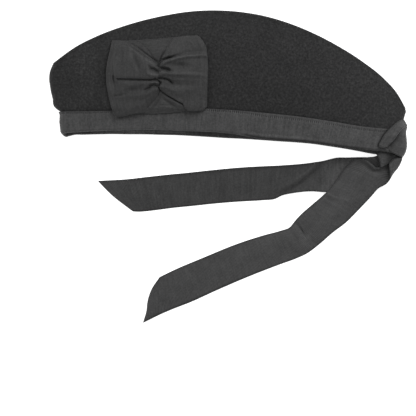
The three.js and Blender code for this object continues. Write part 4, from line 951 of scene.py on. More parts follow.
# Folds of the bow's upper layer: path, depth, width, kind. Negative depth makes a ridge.
BOW_FOLDS = [
    # the straight fold across the left lobe
    ([(-98.7, 76.9, 0), (-95.7, 76.6, 0.85), (-82.0, 76.3, 1), (-68.8, 75.9, 1), (-63.1, 76.4, 0.9)], 2.7, 0.95, "slot"),
    ([(-97.0, 76.7, 0.2), (-89.1, 76.6, 0.8), (-68.8, 75.9, 1), (-63.5, 76.2, 1)], 0.9, 3.2, "v"),
    ([(-93.5, 79.4, 0.3), (-77.6, 79.2, 1), (-67.1, 79.2, 0.8)], -0.35, 3.4, "soft"),
    # turned left end
    ([(-102.2, 99.1, 0.15), (-102.0, 88.5, 0.5), (-101.6, 82.4, 1), (-101.0, 78.0, 1.25), (-100.5, 73.6, 1.1), (-99.9, 68.3, 0.5), (-99.2, 60.4, 0.25), (-97.9, 51.6, 0.15)], 1.0, 1.5, "v"),
    ([(-101.2, 79.7, 1), (-100.8, 75.3, 1)], 1.0, 1.0, "v"),
    # upper left lobe
    ([(-83.4, 99.1, 0.6), (-81.8, 93.8, 1), (-79.2, 86.8, 1), (-77.6, 81.5, 0.3)], 1.5, 3.6, "soft"),
    ([(-75.3, 93.8, 0.5), (-73.2, 88.5, 1), (-71.8, 82.4, 0.7)], -0.9, 3.6, "soft"),
    ([(-69.9, 88.1, 0.3), (-67.8, 85.9, 1), (-65.3, 85.4, 1), (-63.0, 83.8, 1), (-61.2, 83.0, 0.9)], 2.6, 2.2, "v"),
    ([(-87.8, 107.0, 0.7), (-86.8, 105.7, 1), (-75.0, 97.7, 1), (-63.2, 90.0, 1)], 0.75, 1.25, "v"),
    ([(-87.5, 104.7, 0.6), (-80.3, 99.6, 1), (-72.3, 94.0, 1), (-67.1, 90.5, 0.6)], -0.55, 1.9, "soft"),
    ([(-85.1, 106.2, 0.5), (-79.2, 102.4, 1), (-70.0, 95.2, 1)], -0.35, 1.4, "soft"),
    ([(-72.3, 82.9, 0.1), (-68.4, 80.8, 1), (-64.4, 80.3, 1), (-60.5, 79.9, 0.8)], -1.0, 2.6, "soft"),
    # lower left lobe
    ([(-89.9, 65.6, 0.4), (-85.1, 66.7, 1), (-81.1, 66.4, 1), (-75.9, 67.4, 0.5)], 1.7, 4.4, "soft"),
    ([(-99.3, 61.8, 1), (-94.3, 62.6, 1), (-88.6, 63.7, 0.3)], 0.8, 1.7, "v"),
    ([(-95.7, 73.1, 0.5), (-86.4, 72.5, 0.8), (-75.9, 73.0, 1), (-68.8, 73.6, 0.8)], -0.55, 3.4, "soft"),
    ([(-73.0, 67.1, 0.5), (-70.1, 68.6, 1), (-67.8, 70.6, 1), (-64.8, 71.9, 1), (-62.5, 70.2, 0.8)], 3.0, 2.2, "v"),
    ([(-68.1, 73.7, 0.5), (-65.1, 74.2, 1), (-62.0, 73.9, 1)], -1.2, 1.9, "soft"),
    ([(-76.7, 60.8, 0.3), (-70.6, 63.9, 1), (-65.3, 67.1, 1), (-61.8, 68.3, 0.6)], -0.7, 3.2, "soft"),
    ([(-89.9, 53.8, 0.3), (-81.1, 57.3, 1), (-71.5, 59.0, 0.4)], 0.4, 5.0, "soft"),
    # the gather: a crooked run of tucks
    ([(-64.6, 76.7, 0.9), (-62.1, 75.7, 1), (-59.3, 73.7, 1), (-61.6, 70.6, 1), (-60.4, 67.2, 1)], 3.0, 1.5, "v"),
    ([(-61.2, 88.5, 1), (-60.5, 85.0, 0.8), (-59.7, 82.9, 0.5)], 1.6, 1.4, "v"),
    # upper right lobe
    ([(-61.4, 88.4, 1), (-60.0, 90.8, 1), (-58.1, 92.8, 1), (-55.4, 94.3, 1), (-52.4, 95.3, 1), (-49.4, 96.1, 0.85), (-45.3, 97.3, 0.45), (-38.6, 98.4, 0.1)], 3.6, 2.0, "v"),
    ([(-59.8, 90.8, 1), (-57.0, 93.5, 1), (-52.6, 95.2, 1), (-49.2, 96.1, 1)], 1.2, 1.1, "v"),
    ([(-58.8, 89.1, 0.6), (-56.0, 91.5, 1), (-52.1, 93.1, 1), (-45.1, 95.3, 1), (-36.3, 96.8, 1.1), (-24.4, 97.9, 1), (-19.5, 97.2, 0.6)], -1.3, 3.0, "soft"),
    ([(-44.2, 98.7, 0.5), (-35.4, 100.0, 1), (-22.2, 101.2, 0.8)], 0.55, 3.0, "soft"),
    ([(-54.3, 99.1, 0.4), (-50.8, 103.9, 1), (-45.9, 109.2, 0.6)], -0.7, 3.4, "soft"),
    ([(-34.9, 111.9, 0.5), (-31.9, 108.4, 1), (-29.6, 104.7, 0.5)], -0.45, 1.8, "soft"),
    ([(-37.0, 109.6, 0.4), (-34.1, 106.1, 1), (-31.9, 102.6, 0.4)], 0.35, 1.8, "soft"),
    ([(-26.9, 111.4, 0.6), (-23.9, 106.0, 1), (-22.4, 100.8, 0.5)], -0.35, 1.8, "soft"),
    # the pocket below it and the long ridge
    ([(-58.6, 86.2, 0.6), (-56.7, 85.9, 1), (-53.9, 85.4, 1.05), (-51.9, 84.7, 0.9), (-50.0, 84.0, 0.2)], 4.2, 2.5, "v"),
    ([(-57.6, 86.1, 0.8), (-54.6, 85.5, 1), (-52.3, 84.8, 1)], 1.6, 1.5, "v"),
    ([(-50.3, 88.5, 0.6), (-45.1, 88.5, 1), (-39.8, 88.3, 1), (-33.6, 87.2, 0.3)], 1.7, 4.6, "soft"),
    ([(-41.5, 89.4, 0.6), (-39.8, 87.2, 1), (-39.2, 85.4, 0.4)], 0.5, 2.0, "v"),
    ([(-59.5, 81.8, 0.9), (-55.4, 81.8, 1), (-50.3, 81.5, 1.05), (-44.2, 81.1, 1), (-37.1, 80.8, 0.9), (-27.5, 80.3, 0.5), (-20.4, 79.7, 0.2)], -1.5, 3.4, "soft"),
    ([(-61.2, 77.4, 0.8), (-58.3, 77.4, 0.9), (-55.1, 76.9, 1), (-52.3, 75.9, 1.1), (-50.2, 74.1, 0.9), (-48.4, 72.3, 0.2)], 3.2, 1.9, "v"),
    ([(-48.6, 72.7, 0.9), (-42.4, 71.5, 1), (-35.4, 71.6, 0.7), (-28.3, 72.7, 0.2)], 1.5, 5.4, "soft"),
    # lower right lobe
    ([(-58.7, 70.4, 0.9), (-54.7, 69.0, 1), (-49.5, 66.0, 0.8), (-42.4, 63.4, 0.3)], -0.8, 3.2, "soft"),
    ([(-57.4, 67.2, 0.3), (-50.3, 62.3, 1), (-41.5, 57.6, 0.8)], -0.5, 2.4, "soft"),
    ([(-38.7, 59.0, 0.4), (-38.5, 56.0, 1), (-39.0, 53.0, 0.6)], 0.6, 1.4, "v"),
    ([(-35.4, 65.6, 0.3), (-34.1, 58.6, 0.8), (-33.6, 51.6, 0.5)], -0.3, 4.0, "soft"),
    # the rounded right end
    ([(-23.4, 92.0, 0.5), (-22.7, 76.2, 1), (-23.2, 58.6, 0.6)], 0.28, 2.2, "soft"),
]
BACK_FOLDS = [
    ([(-59.8, 65.1, 0.4), (-62.7, 59.7, 1), (-67.6, 53.3, 1), (-73.6, 47.7, 0.8)], -2.6, 3.6, "soft"),
    ([(-59.0, 64.9, 0.5), (-53.5, 60.5, 0.9), (-45.1, 55.6, 1), (-38.9, 52.1, 0.9)], -2.9, 4.0, "soft"),
    ([(-59.1, 94.2, 1), (-58.6, 96.8, 1.1), (-57.0, 100.4, 0.8), (-54.4, 104.5, 0.4)], 1.0, 1.8, "v"),
    ([(-68.8, 92.9, 0.5), (-61.8, 90.7, 1), (-56.5, 92.9, 0.5)], 1.0, 5.0, "soft"),
    ([(-70.9, 98.6, 0.3), (-68.5, 102.6, 1), (-67.1, 106.1, 0.3)], -0.45, 4.5, "soft"),
    ([(-78.5, 107.4, 0.5), (-71.5, 105.8, 0.8), (-64.4, 102.2, 0.3)], 0.3, 2.5, "soft"),
    ([(-61.3, 54.6, 0.2), (-59.1, 53.9, 1), (-52.1, 53.7, 1), (-49.5, 53.9, 0.2)], 0.5, 1.1, "v"),
    ([(-85.0, 108.2, 0.6), (-78.8, 104.9, 1), (-69.3, 97.2, 1), (-63.2, 92.0, 1)], 1.3, 1.3, "v"),
    ([(-58.3, 57.3, 0.7), (-56.1, 53.8, 1), (-53.9, 50.7, 1)], -1.2, 7.0, "soft"),
    ([(-65.3, 50.7, 0.6), (-60.0, 52.0, 1), (-45.9, 51.1, 0.8)], -0.9, 4.5, "soft"),
    ([(-59.6, 64.8, 1), (-56.8, 61.1, 0.8), (-53.0, 57.7, 0.5)], 0.3, 3.0, "soft"),
    ([(-57.4, 58.6, 0.5), (-60.0, 53.3, 0.8), (-63.5, 48.9, 0.5)], -0.35, 4.0, "soft"),
]


# Painted shade in the bow's folds, pockets and gather and painted highlights on its ridges, with broad painted shade
# and light over its lobes; on the ribbon behind, painted shade along the bow's edges and in its folds. A positive
# amount is darker, a negative one lighter.
BOW_LINES = [
    ([(-85.1, 107.4, 0.5), (-79.1, 104.2, 1), (-69.7, 96.5, 1), (-63.0, 90.8, 1)], 0.18, 1.1, "soft"),
    ([(-87.7, 104.4, 0.8), (-80.3, 99.1, 1), (-71.9, 93.5, 1), (-66.2, 89.8, 0.6)], -0.32, 1.7, "soft"),
    ([(-61.4, 88.5, 1.3), (-60.0, 90.8, 1.4), (-58.1, 92.8, 1.4), (-55.4, 94.3, 1), (-52.4, 95.3, 0.9), (-49.4, 96.1, 0.6), (-45.3, 97.3, 0.5), (-41.5, 98.0, 0.1)], 0.50, 1.5, "soft"),
    ([(-57.7, 90.5, 0.7), (-54.7, 92.4, 1), (-51.2, 93.6, 1), (-43.2, 95.9, 1), (-37.5, 97.2, 1), (-31.0, 97.6, 1), (-24.1, 97.9, 0.9)], -0.38, 1.5, "soft"),
    ([(-58.3, 86.2, 0.8), (-56.5, 85.8, 1), (-53.9, 85.3, 1), (-51.7, 84.7, 1)], 0.40, 1.8, "soft"),
    ([(-48.6, 88.4, 0.8), (-44.2, 88.7, 1), (-39.2, 88.4, 0.9)], 0.16, 4.2, "soft"),
    ([(-59.5, 82.5, 0.8), (-55.6, 82.8, 1), (-48.0, 82.9, 1), (-38.0, 82.5, 0.8), (-27.9, 82.0, 0.4)], -0.28, 1.7, "soft"),
    ([(-60.5, 77.5, 1), (-56.9, 77.4, 1), (-53.8, 76.8, 1), (-51.6, 75.8, 1), (-49.8, 74.0, 1)], 0.45, 1.4, "soft"),
    ([(-47.7, 74.1, 0.8), (-42.4, 72.9, 1), (-36.3, 73.4, 0.8)], 0.12, 5.0, "soft"),
    ([(-69.3, 82.0, 0.8), (-66.2, 80.4, 1), (-62.5, 79.0, 0.8)], -0.60, 3.2, "soft"),
    ([(-66.5, 73.9, 0.8), (-64.1, 74.2, 1), (-61.4, 73.4, 1)], -0.46, 1.6, "soft"),
    ([(-64.4, 77.4, 1), (-61.8, 75.7, 1), (-59.1, 73.7, 1), (-61.6, 70.4, 1), (-60.0, 67.2, 1)], 0.42, 1.2, "soft"),
    ([(-69.7, 71.5, 1), (-66.2, 71.1, 1)], 0.35, 1.3, "soft"),
    ([(-72.3, 67.8, 1), (-70.2, 69.0, 1), (-68.3, 69.5, 1)], 0.40, 1.4, "soft"),
    ([(-68.8, 86.0, 1), (-65.6, 85.7, 1), (-63.4, 84.0, 1), (-61.5, 83.1, 1)], 0.36, 1.3, "soft"),
    ([(-58.3, 69.7, 0.6), (-53.9, 66.2, 1), (-48.6, 63.2, 0.7)], -0.16, 2.4, "soft"),
    ([(-97.0, 61.2, 0.8), (-82.9, 58.6, 1), (-70.6, 60.4, 0.8)], 0.17, 15.0, "soft"),
    ([(-39.8, 107.9, 0.6), (-31.9, 106.1, 1), (-24.8, 102.6, 0.8)], 0.19, 11.0, "soft"),
    ([(-95.2, 93.8, 0.8), (-86.4, 92.0, 1), (-74.1, 86.8, 0.5)], 0.05, 14.0, "soft"),
    ([(-57.8, 65.5, 1), (-53.0, 62.3, 1), (-45.9, 58.4, 1), (-40.2, 55.1, 0.8)], -0.22, 1.4, "soft"),
    ([(-82.4, 96.4, 0.7), (-79.9, 89.4, 1), (-78.5, 83.2, 0.6)], 0.08, 3.4, "soft"),
    ([(-38.4, 57.3, 0.7), (-38.2, 55.1, 1), (-38.9, 53.0, 0.6)], 0.16, 1.1, "soft"),
]
BACK_LINES = [
    ([(-60.2, 92.5, 1), (-58.6, 96.4, 1), (-56.1, 100.3, 1), (-53.6, 103.5, 0.7), (-51.2, 106.7, 0.3)], 0.50, 1.2, "soft"),
    ([(-61.4, 88.4, 1), (-60.0, 90.9, 1), (-58.3, 93.0, 1)], 0.55, 1.5, "soft"),
    ([(-59.7, 64.2, 0.4), (-62.4, 60.1, 1), (-67.2, 53.4, 0.8), (-73.0, 47.9, 0.6)], 0.05, 1.6, "soft"),
    ([(-66.2, 54.7, 0.3), (-60.0, 54.7, 1), (-49.5, 54.8, 0.6)], 0.14, 1.0, "soft"),
    ([(-57.9, 62.1, 0.8), (-52.1, 57.9, 1), (-44.2, 53.7, 0.8)], -0.20, 2.4, "soft"),
]


def by_arc(pts):
    """Line through points, over its own length from 0 to 1."""
    pts = np.asarray(pts, float)
    s = arc_lengths(pts) / arc_lengths(pts)[-1]
    return lambda t: np.stack([np.interp(t, s, pts[:, 0]), np.interp(t, s, pts[:, 1])], axis=-1)


def by_x(pts):
    """Edge line as the height y over x."""
    pts = np.asarray(pts, float)
    return lambda x: np.interp(x, pts[:, 0], pts[:, 1])


def bow_plan(s, t):
    """Plan position on the bow, s from the left end to the right, t from the low edge to the high."""
    low_y, high_y = by_x(BOW_LOW), by_x(BOW_HIGH)
    xl = mix(BOW_LOW[0][0], BOW_LOW[-1][0], s)
    xh = mix(BOW_HIGH[0][0], BOW_HIGH[-1][0], s)
    x = mix(xl, xh, t)
    y = mix(low_y(xl), high_y(xh), t)
    for curve, weight in ((by_arc(BOW_LEFT), np.maximum(1 - s / 0.42, 0) ** 1.5),
                          (by_arc(BOW_RIGHT), np.maximum(1 - (1 - s) / 0.42, 0) ** 1.5)):
        k = 0 if curve(np.array([0.0]))[0, 0] < -60 else 1
        a = np.array([mix(BOW_LOW[0][0], BOW_LOW[-1][0], k), low_y(mix(BOW_LOW[0][0], BOW_LOW[-1][0], k))])
        b = np.array([mix(BOW_HIGH[0][0], BOW_HIGH[-1][0], k), high_y(mix(BOW_HIGH[0][0], BOW_HIGH[-1][0], k))])
        c = curve(t)
        x = x + weight * (c[..., 0] - mix(a[0], b[0], t))
        y = y + weight * (c[..., 1] - mix(a[1], b[1], t))
    return x, y


def folds(x, y, table):
    v = np.zeros(np.shape(x))
    for pts, depth, width, kind in table:
        v = v + crease(x, y, pts, depth, width, kind)
    return v


def cockade_bow(name, **more):
    top_of, bottom_of = spline(BOW_BODY, "x", "top"), spline(BOW_BODY, "x", "bottom")
    thick = 0.7
    # columns: closer where the straight fold runs
    base = np.linspace(0, 1, 92)
    extra = np.linspace(0.455, 0.625, 42)
    t = np.unique(np.round(np.concatenate([base[(base < 0.455) | (base > 0.625)], extra]), 5))
    n = int(round(88.0 / (RIB / 4)))
    s = np.linspace(0.014, 0.986, n)
    S, T = np.meshgrid(s, t, indexing="ij")
    x, y = bow_plan(S, T)
    ground = left_height(x, y, 9.0)
    edge = np.abs(2 * T - 1)
    droop = -0.7 * edge ** 8 - 0.5 * edge ** 3
    for edge_t, at, wide, drop in LOBE_DROOPS:
        away = np.abs(T - edge_t)
        droop = droop - drop * smooth(1 - np.abs(x - at) / wide) * smooth(1 - away / 0.17)
    flat_top = ground + top_of(x) + droop
    relief = folds(x, y, BOW_FOLDS)
    relief += 0.34 * value_noise(x / 10 + 4, y / 10 + 8, 51) + 0.12 * value_noise(x / 4.5, y / 4.5, 52)
    relief = np.maximum(relief, -(top_of(x) - bottom_of(x) - 1.0))
    top = np.stack([x, y, flat_top], axis=-1)
    floor_z = ground + bottom_of(x)
    # the lower layer, which shows a little beyond the upper one at its upper left edge
    k = np.linspace(0, n - 1, 60).round().astype(int)
    bx, by = x[k].copy(), y[k].copy()
    gx = (bx - BOW_HIGH[2][0]) / (BOW_HIGH[6][0] - BOW_HIGH[2][0])
    out = 4.3 * smooth(gx / 0.35) * smooth((1.02 - gx) / 0.45) * smooth((T[k] - 0.72) / 0.28)
    bx, by = bx + out * 0.52, by + out * 0.85
    slot = crease(bx, by, [(-84.8, 107.7, 0.6), (-78.8, 104.5, 1), (-69.5, 97.0, 1), (-62.8, 91.2, 0.8)], 0.9, 1.1, "soft")
    bottom = np.stack([bx, by, left_height(bx, by, 9.0) + bottom_of(bx) + 0.15 + out * 0.30 + slot * smooth(out / 1.5)], axis=-1)

    def turn(upper, lower, outward, steps=9):
        f = np.linspace(0, math.pi, steps + 2)[1:-1][:, None, None]
        c = (upper + lower)[None] / 2
        half = (upper - lower)[None] / 2
        reach = np.linalg.norm(upper - lower, axis=-1, keepdims=True)[None] / 2
        return c + half * np.cos(f) + outward[None] * reach * np.sin(f)

    out_r = unit((top[-1] - top[-6]) * [1, 1, 0])
    out_l = unit((top[0] - top[5]) * [1, 1, 0])
    right = turn(top[-1], bottom[-1], out_r)
    left = turn(bottom[0], top[0], out_l)
    mid = np.concatenate([top, right, bottom[::-1], left])
    nrm = unit(np.cross(np.roll(mid, -1, axis=0) - np.roll(mid, 1, axis=0), np.gradient(mid, axis=1)))
    if nrm[n // 2, len(t) // 2, 2] < 0:
        nrm = -nrm
    lift = np.zeros(mid.shape[:2])
    lift[:n] = relief
    # the relief fades into the turns
    for j in range(9):
        w = (1 - (j + 1) / 10) ** 2
        lift[n + j] = relief[-1] * w
        lift[-1 - j] = relief[0] * w
    line = arc_lengths(mid[:, len(t) // 2])
    rib = ribs(line) * np.where(np.arange(len(mid)) < n, 1.0, 0.0)
    body = mid + np.array([0, 0, 1.0]) * np.where(np.arange(len(mid))[:, None] < n, lift, 0)[..., None] \
        + nrm * np.where(np.arange(len(mid))[:, None] >= n, lift, 0)[..., None]
    half = (thick / 2 + rib)[:, None, None]
    front, rear = body + nrm * half, body - nrm * half
    e0 = (front[:, 0] + rear[:, 0]) / 2 + unit(body[:, 0] - body[:, 1]) * 0.25
    e1 = (front[:, -1] + rear[:, -1]) / 2 + unit(body[:, -1] - body[:, -2]) * 0.25
    ring = np.concatenate([e0[:, None], front, e1[:, None], rear[:, ::-1]], axis=1)
    w = arc_lengths(mid[n // 4])
    wu = np.concatenate([[0], w, [w[-1]], w[::-1]])
    uv = np.stack(np.broadcast_arrays(line[:, None], wu[None, :]), axis=-1).copy()
    # painted shade along the bow's two long edges
    tone = np.ones(ring.shape[:2])
    tone[:, [0, 1, len(t), len(t) + 1, len(t) + 2, -1]] = 0.82
    return lofted(name, ring, closed=True, uv=uv, tone=tone, **more)


def cockade_back(name, **more):
    thick = 0.7
    y_hi, y_lo = BACK_LEFT[0][1], BACK_LEFT[-1][1]
    n = int(round((y_hi - y_lo) / (RIB / 3)))
    s = np.linspace(0, 1, n)
    t = np.linspace(0, 1, 72)
    S, T = np.meshgrid(s, t, indexing="ij")
    fl = spline([dict(y=-p[1], x=p[0]) for p in BACK_LEFT], "y", "x")
    fr = spline([dict(y=-p[1], x=p[0]) for p in BACK_RIGHT], "y", "x")
    yl = mix(BACK_LEFT[0][1], BACK_LEFT[-1][1], S)
    yr = mix(BACK_RIGHT[0][1], BACK_RIGHT[-1][1], S)
    x = mix(fl(-yl), fr(-yr), T)
    y = mix(yl, yr, T)
    top, low = by_x(BACK_TOP), by_x(BACK_LOW)
    y = y + np.maximum(1 - S / 0.3, 0) ** 1.5 * (top(x) - mix(BACK_LEFT[0][1], BACK_RIGHT[0][1], T))
    y = y + np.maximum(1 - (1 - S) / 0.3, 0) ** 1.5 * (low(x) - mix(BACK_LEFT[-1][1], BACK_RIGHT[-1][1], T))
    pinch = np.exp(-((S - 0.5) / 0.16) ** 2)
    body = 0.95 + 1.25 * np.sin(math.pi * T) * (1 - pinch) * smooth(S / 0.16) * smooth((1 - S) / 0.16)
    relief = folds(x, y, BACK_FOLDS) + 0.10 * value_noise(x / 8, y / 8, 61)
    z = left_height(x, y, 9.0) + body + np.maximum(relief, -0.45 - 0.4 * (body - 0.95))
    mid = np.stack([x, y, z], axis=-1)
    return ribbon_mesh(name, mid, thick=thick, up=1, **more)


# ------------------------------------------------------------------ materials
def nodes_of(name):
    m = bpy.data.materials.new(name)
    m.use_nodes = True
    t = m.node_tree
    t.nodes.clear()
    out = t.nodes.new("ShaderNodeOutputMaterial")
    sh = t.nodes.new("ShaderNodeBsdfPrincipled")
    t.links.new(sh.outputs["BSDF"], out.inputs["Surface"])
    return m, t, sh


def node(t, kind, ins=None, **props):
    n = t.nodes.new(kind)
    for k, v in props.items():
        setattr(n, k, v)
    for k, v in (ins or {}).items():
        if isinstance(v, bpy.types.NodeSocket):
            t.links.new(v, n.inputs[k])
        else:
            n.inputs[k].default_value = v
    return n


def noise(t, vec, scale, detail=2.0, rough=0.5, dim="3D"):
    return node(t, "ShaderNodeTexNoise", {"Vector": vec, "Scale": scale, "Detail": detail, "Roughness": rough},
                noise_dimensions=dim).outputs["Fac"]


def math_node(t, op, a, b=0.0, c=0.0, clamp=False):
    n = t.nodes.new("ShaderNodeMath")
    n.operation, n.use_clamp = op, clamp
    for i, v in enumerate((a, b, c)):
        if isinstance(v, bpy.types.NodeSocket):
            t.links.new(v, n.inputs[i])
        elif i < len(n.inputs):
            n.inputs[i].default_value = v
    return n.outputs[0]


def ramp(t, fac, stops):
    n = t.nodes.new("ShaderNodeValToRGB")
    t.links.new(fac, n.inputs["Fac"])
    e = n.color_ramp.elements
    while len(e) < len(stops):
        e.new(0.5)
    for el, (p, v) in zip(e, stops):
        el.position = p
        el.color = (v, v, v, 1) if not isinstance(v, tuple) else (*v, 1)
    return n.outputs["Color"]


def with_painted_shading(t, colour):
    """Colour times the painted shade and light kept at each vertex in the tone attribute."""
    tone = node(t, "ShaderNodeAttribute", attribute_type="GEOMETRY", attribute_name="tone").outputs["Fac"]
    n = t.nodes.new("ShaderNodeVectorMath")
    n.operation = "SCALE"
    t.links.new(colour, n.inputs[0])
    t.links.new(tone, n.inputs["Scale"])
    return n.outputs[0]


def wool_material(name, base):
    m, t, sh = nodes_of(name)
    co = node(t, "ShaderNodeTexCoord").outputs["Object"]
    fleck = noise(t, co, 540.0, 3.0, 0.62)
    fibre = noise(t, co, 1900.0, 3.0, 0.7)
    cloud = noise(t, co, 46.0, 2.0, 0.5)
    hair = noise(t, node(t, "ShaderNodeMapping", {"Vector": co, "Scale": (900.0, 330.0, 900.0), "Rotation": (0, 0, 0.5)}).outputs[0], 1.0, 3.0, 0.6)
    a = math_node(t, "MULTIPLY", math_node(t, "SUBTRACT", fleck, 0.5), 2.0)
    b = math_node(t, "MULTIPLY", math_node(t, "SUBTRACT", fibre, 0.5), 0.75)
    c = math_node(t, "MULTIPLY", math_node(t, "SUBTRACT", cloud, 0.5), 0.30)
    d = math_node(t, "MULTIPLY", math_node(t, "SUBTRACT", hair, 0.5), 0.55)
    f = math_node(t, "ADD", math_node(t, "ADD", a, b), math_node(t, "ADD", c, d))
    f = math_node(t, "ADD", f, 0.5, clamp=True)
    lo, mid, hi = base * 0.52, base, base * 1.75
    col = ramp(t, f, [(0.0, (lo, lo, lo * 1.02)), (0.5, (mid, mid, mid * 1.01)), (1.0, (hi, hi, hi))])
    t.links.new(with_painted_shading(t, col), sh.inputs["Base Color"])
    rough = math_node(t, "MULTIPLY_ADD", fleck, 0.12, 0.86)
    t.links.new(rough, sh.inputs["Roughness"])
    sh.inputs["Specular IOR Level"].default_value = 0.12
    sh.inputs["Sheen Weight"].default_value = 0.10
    sh.inputs["Sheen Roughness"].default_value = 0.45
    h = math_node(t, "ADD", math_node(t, "MULTIPLY", fleck, 0.7), math_node(t, "ADD", math_node(t, "MULTIPLY", fibre, 0.45), math_node(t, "MULTIPLY", hair, 0.4)))
    bump = node(t, "ShaderNodeBump", {"Height": h, "Strength": 0.75, "Distance": 0.00045})
    t.links.new(bump.outputs[0], sh.inputs["Normal"])
    return m


def grosgrain_material(name, base, fleck=1.3, streak=0.55, ribbed=True):
    m, t, sh = nodes_of(name)
    uv = node(t, "ShaderNodeUVMap", uv_map="thread").outputs[0]
    sep = node(t, "ShaderNodeSeparateXYZ", {"Vector": uv})
    u, v = sep.outputs[0], sep.outputs[1]
    co = node(t, "ShaderNodeTexCoord").outputs["Object"]
    cord = math_node(t, "COSINE", math_node(t, "MULTIPLY", u, 2 * math.pi / (RIB * 0.001)))
    cord = math_node(t, "MULTIPLY_ADD", cord, -0.5, 0.5)                   # 1 on a rib, 0 between ribs
    warp = noise(t, node(t, "ShaderNodeMapping", {"Vector": uv, "Scale": (900.0, 4200.0, 1.0)}).outputs[0], 1.0, 2.0, 0.55, "2D")
    slub = noise(t, node(t, "ShaderNodeMapping", {"Vector": uv, "Scale": (850.0, 70.0, 1.0)}).outputs[0], 1.0, 2.0, 0.6, "2D")
    uneven = noise(t, node(t, "ShaderNodeMapping", {"Vector": uv, "Scale": (390.0, 34.0, 1.0)}).outputs[0], 1.0, 2.0, 0.6, "2D")
    cloud = noise(t, co, 95.0, 3.0, 0.55)
    speck = noise(t, co, 620.0, 3.0, 0.62)
    # the cords painted lighter than the dips between them: painted rib shading, on top of the bump below
    f = math_node(t, "MULTIPLY_ADD", cord, 0.46, 0.27)
    for tex, amount in ((warp, 0.5), (slub, 0.40), (uneven, streak), (cloud, 0.65), (speck, fleck)):
        f = math_node(t, "ADD", f, math_node(t, "MULTIPLY", math_node(t, "SUBTRACT", tex, 0.5), amount))
    f = math_node(t, "ADD", f, 0.0, clamp=True)
    lo, mid, hi = base * 0.52, base, base * 1.62
    col = ramp(t, f, [(0.0, (lo, lo, lo * 1.01)), (0.5, (mid, mid, mid * 1.01)), (1.0, (hi, hi, hi))])
    t.links.new(with_painted_shading(t, col), sh.inputs["Base Color"])
    rough = math_node(t, "MULTIPLY_ADD", speck, 0.16, 0.52)
    t.links.new(rough, sh.inputs["Roughness"])
    sh.inputs["Specular IOR Level"].default_value = 0.22
    sh.inputs["Sheen Weight"].default_value = 0.05
    sh.inputs["Sheen Roughness"].default_value = 0.5
    h = math_node(t, "MULTIPLY", warp, 0.35)
    h = math_node(t, "ADD", h, math_node(t, "MULTIPLY", speck, 0.25))
    if ribbed:
        h = math_node(t, "ADD", h, math_node(t, "MULTIPLY", cord, 0.5))
    bump = node(t, "ShaderNodeBump", {"Height": h, "Strength": 0.6, "Distance": 0.00012})
    t.links.new(bump.outputs[0], sh.inputs["Normal"])
    return m


def thread_material(name, base):
    m, t, sh = nodes_of(name)
    co = node(t, "ShaderNodeTexCoord").outputs["Object"]
    f = noise(t, co, 2600.0, 2.0, 0.6)
    col = ramp(t, f, [(0.2, base * 0.6), (0.8, base * 1.5)])
    t.links.new(col, sh.inputs["Base Color"])
    sh.inputs["Roughness"].default_value = 0.6
    bump = node(t, "ShaderNodeBump", {"Height": f, "Strength": 0.5, "Distance": 0.0001})
    t.links.new(bump.outputs[0], sh.inputs["Normal"])
    return m


# ------------------------------------------------------------------ camera, light and floor
scene = bpy.context.scene
scene.view_settings.view_transform = "Standard"
cam = bpy.data.cameras.new("camera")
cam.lens, cam.sensor_width = 1200.0, 36.0
camera = bpy.data.objects.new("camera", cam)
camera.location = (-0.017846, -0.036747, 0.010 + 0.36608 * 1200.0 / 36.0)
camera.rotation_euler = (0, 0, 0)
scene.collection.objects.link(camera)
scene.camera = camera

world = bpy.data.worlds.new("studio")
world.use_nodes = True
world.node_tree.nodes["Background"].inputs["Color"].default_value = (1, 1, 1, 1)
world.node_tree.nodes["Background"].inputs["Strength"].default_value = 0.54
scene.world = world


def area_light(name, at, size, power):
    li = bpy.data.lights.new(name, "AREA")
    li.shape, li.size, li.size_y, li.energy = "RECTANGLE", size[0], size[1], power
    ob = bpy.data.objects.new(name, li)
    ob.location = at
    d = np.array([0.0, 0.0, 0.01]) - np.array(at)
    d = d / np.linalg.norm(d)
    ob.rotation_euler = Vector(d).to_track_quat("-Z", "Y").to_euler()
    scene.collection.objects.link(ob)
    return ob


area_light("key", (0.75, 0.95, 1.10), (0.8, 0.8), 18.0)
area_light("fill", (-0.95, 0.35, 1.0), (1.1, 1.1), 7.0)

floor_mat, ft, fs = nodes_of("floor_white")
fco = node(ft, "ShaderNodeTexCoord").outputs["Object"]
ft.links.new(ramp(ft, noise(ft, fco, 3.0), [(0.3, 0.88), (0.7, 0.90)]), fs.inputs["Base Color"])
fs.inputs["Roughness"].default_value = 0.9
fs.inputs["Emission Color"].default_value = (1, 1, 1, 1)
fs.inputs["Emission Strength"].default_value = 0.72
fs.inputs["Specular IOR Level"].default_value = 0.1
fm = bpy.data.meshes.new("floor")
fm.from_pydata([(-4, -4, 0), (4, -4, 0), (4, 4, 0), (-4, 4, 0)], [], [(0, 1, 2, 3)])
floor = bpy.data.objects.new("floor", fm)
floor.location = (0, 0, -0.0002)
fm.materials.append(floor_mat)
scene.collection.objects.link(floor)

# ------------------------------------------------------------------ the pieces
WOOL_MAT = wool_material("milled_wool", 0.0190)
# One black grosgrain in six copies whose base brightness differs as painted light and shade: the bow and upper tail
# darker, the band, the lower tail and the knot's folds lighter.
BAND_MAT = grosgrain_material("grosgrain_band", 0.0400)
BOW_MAT = grosgrain_material("grosgrain_bow", 0.0245)
TAIL_UP_MAT = grosgrain_material("grosgrain_tail_upper", 0.0276, 1.2, 0.5)
TAIL_LOW_MAT = grosgrain_material("grosgrain_tail_lower", 0.0404, 0.9, 0.25)
KNOT_MAT = grosgrain_material("grosgrain_knot", 0.0368)
FOLD_MAT = grosgrain_material("grosgrain_fold", 0.0384)
THREAD_MAT = thread_material("sewing_thread", 0.012)

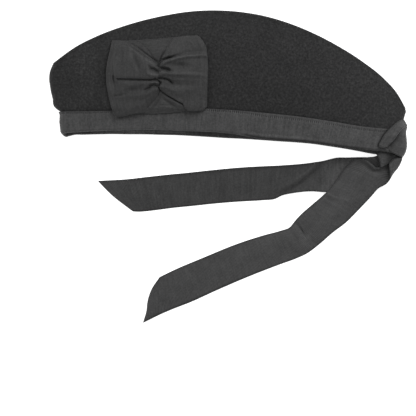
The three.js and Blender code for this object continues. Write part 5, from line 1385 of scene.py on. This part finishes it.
left = wool_side("crown_left_side", 0, 190, 84, material=WOOL_MAT, slot="wool")
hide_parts("left_side")
right = wool_side("crown_right_side", 3, 150, 56, material=WOOL_MAT, slot="wool")
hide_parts("right_side")
top = gusset("crown_top_fold", 150, material=WOOL_MAT, slot="wool")
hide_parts("crown_top")
band = rim_band("rim_ribbon", material=BAND_MAT, slot="grosgrain")
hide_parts("band")
stitches = band_stitches("rim_stitches", material=THREAD_MAT, slot="grosgrain")
bow = cockade_bow("cockade_bow_ribbon", tone_at=painted_shading_of(BOW_LINES), material=BOW_MAT, slot="grosgrain")
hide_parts("cockade_bow")
back = cockade_back("cockade_back_ribbon", tone_at=painted_shading_of(BACK_LINES), material=BOW_MAT, slot="grosgrain")
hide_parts("cockade_back")
lower = tail("tail_lower_ribbon", TAIL_LOWER_ROWS, 30, lower_relief, (0.55, 0.82), up=-1, tone_at=painted_shading_of(LOWER_LINES), material=TAIL_LOW_MAT, slot="grosgrain")
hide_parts("tail_lower")
upper = tail("tail_upper_ribbon", TAIL_UPPER_ROWS, 30, upper_relief, (1.1, 0.5), up=-1, tone_at=painted_shading_of(UPPER_LINES), material=TAIL_UP_MAT, slot="grosgrain")
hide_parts("tail_upper")
wrap = strip("knot_wrap_ribbon", WRAP_ROWS, RIB / 4, 30, up=-1, relief=fold_relief, tone_at=painted_shading_of(WRAP_LINES), material=KNOT_MAT, slot="grosgrain")
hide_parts("knot_wrap")
roll = strip("knot_wrap_roll", ROLL_ROWS, RIB / 4, 40, up=-1, relief=fold_relief, tone_at=painted_shading_of(ROLL_LINES), material=FOLD_MAT, slot="grosgrain")
middle = strip("knot_middle_fold", FOLD_MIDDLE, RIB / 4, 26, up=-1, tone_at=painted_shading_of(MIDDLE_LINES), material=KNOT_MAT, slot="grosgrain")
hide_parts("knot_core")
side = strip("knot_right_fold", FOLD_RIGHT, RIB / 4, 20, up=-1, tone_at=painted_shading_of(RIGHT_LINES), material=FOLD_MAT, slot="grosgrain")
inside = strip("knot_inner_ribbon", FOLD_INSIDE, RIB / 4, 30, up=-1, tone_at=painted_shading_of(INSIDE_LINES), material=KNOT_MAT, slot="grosgrain")
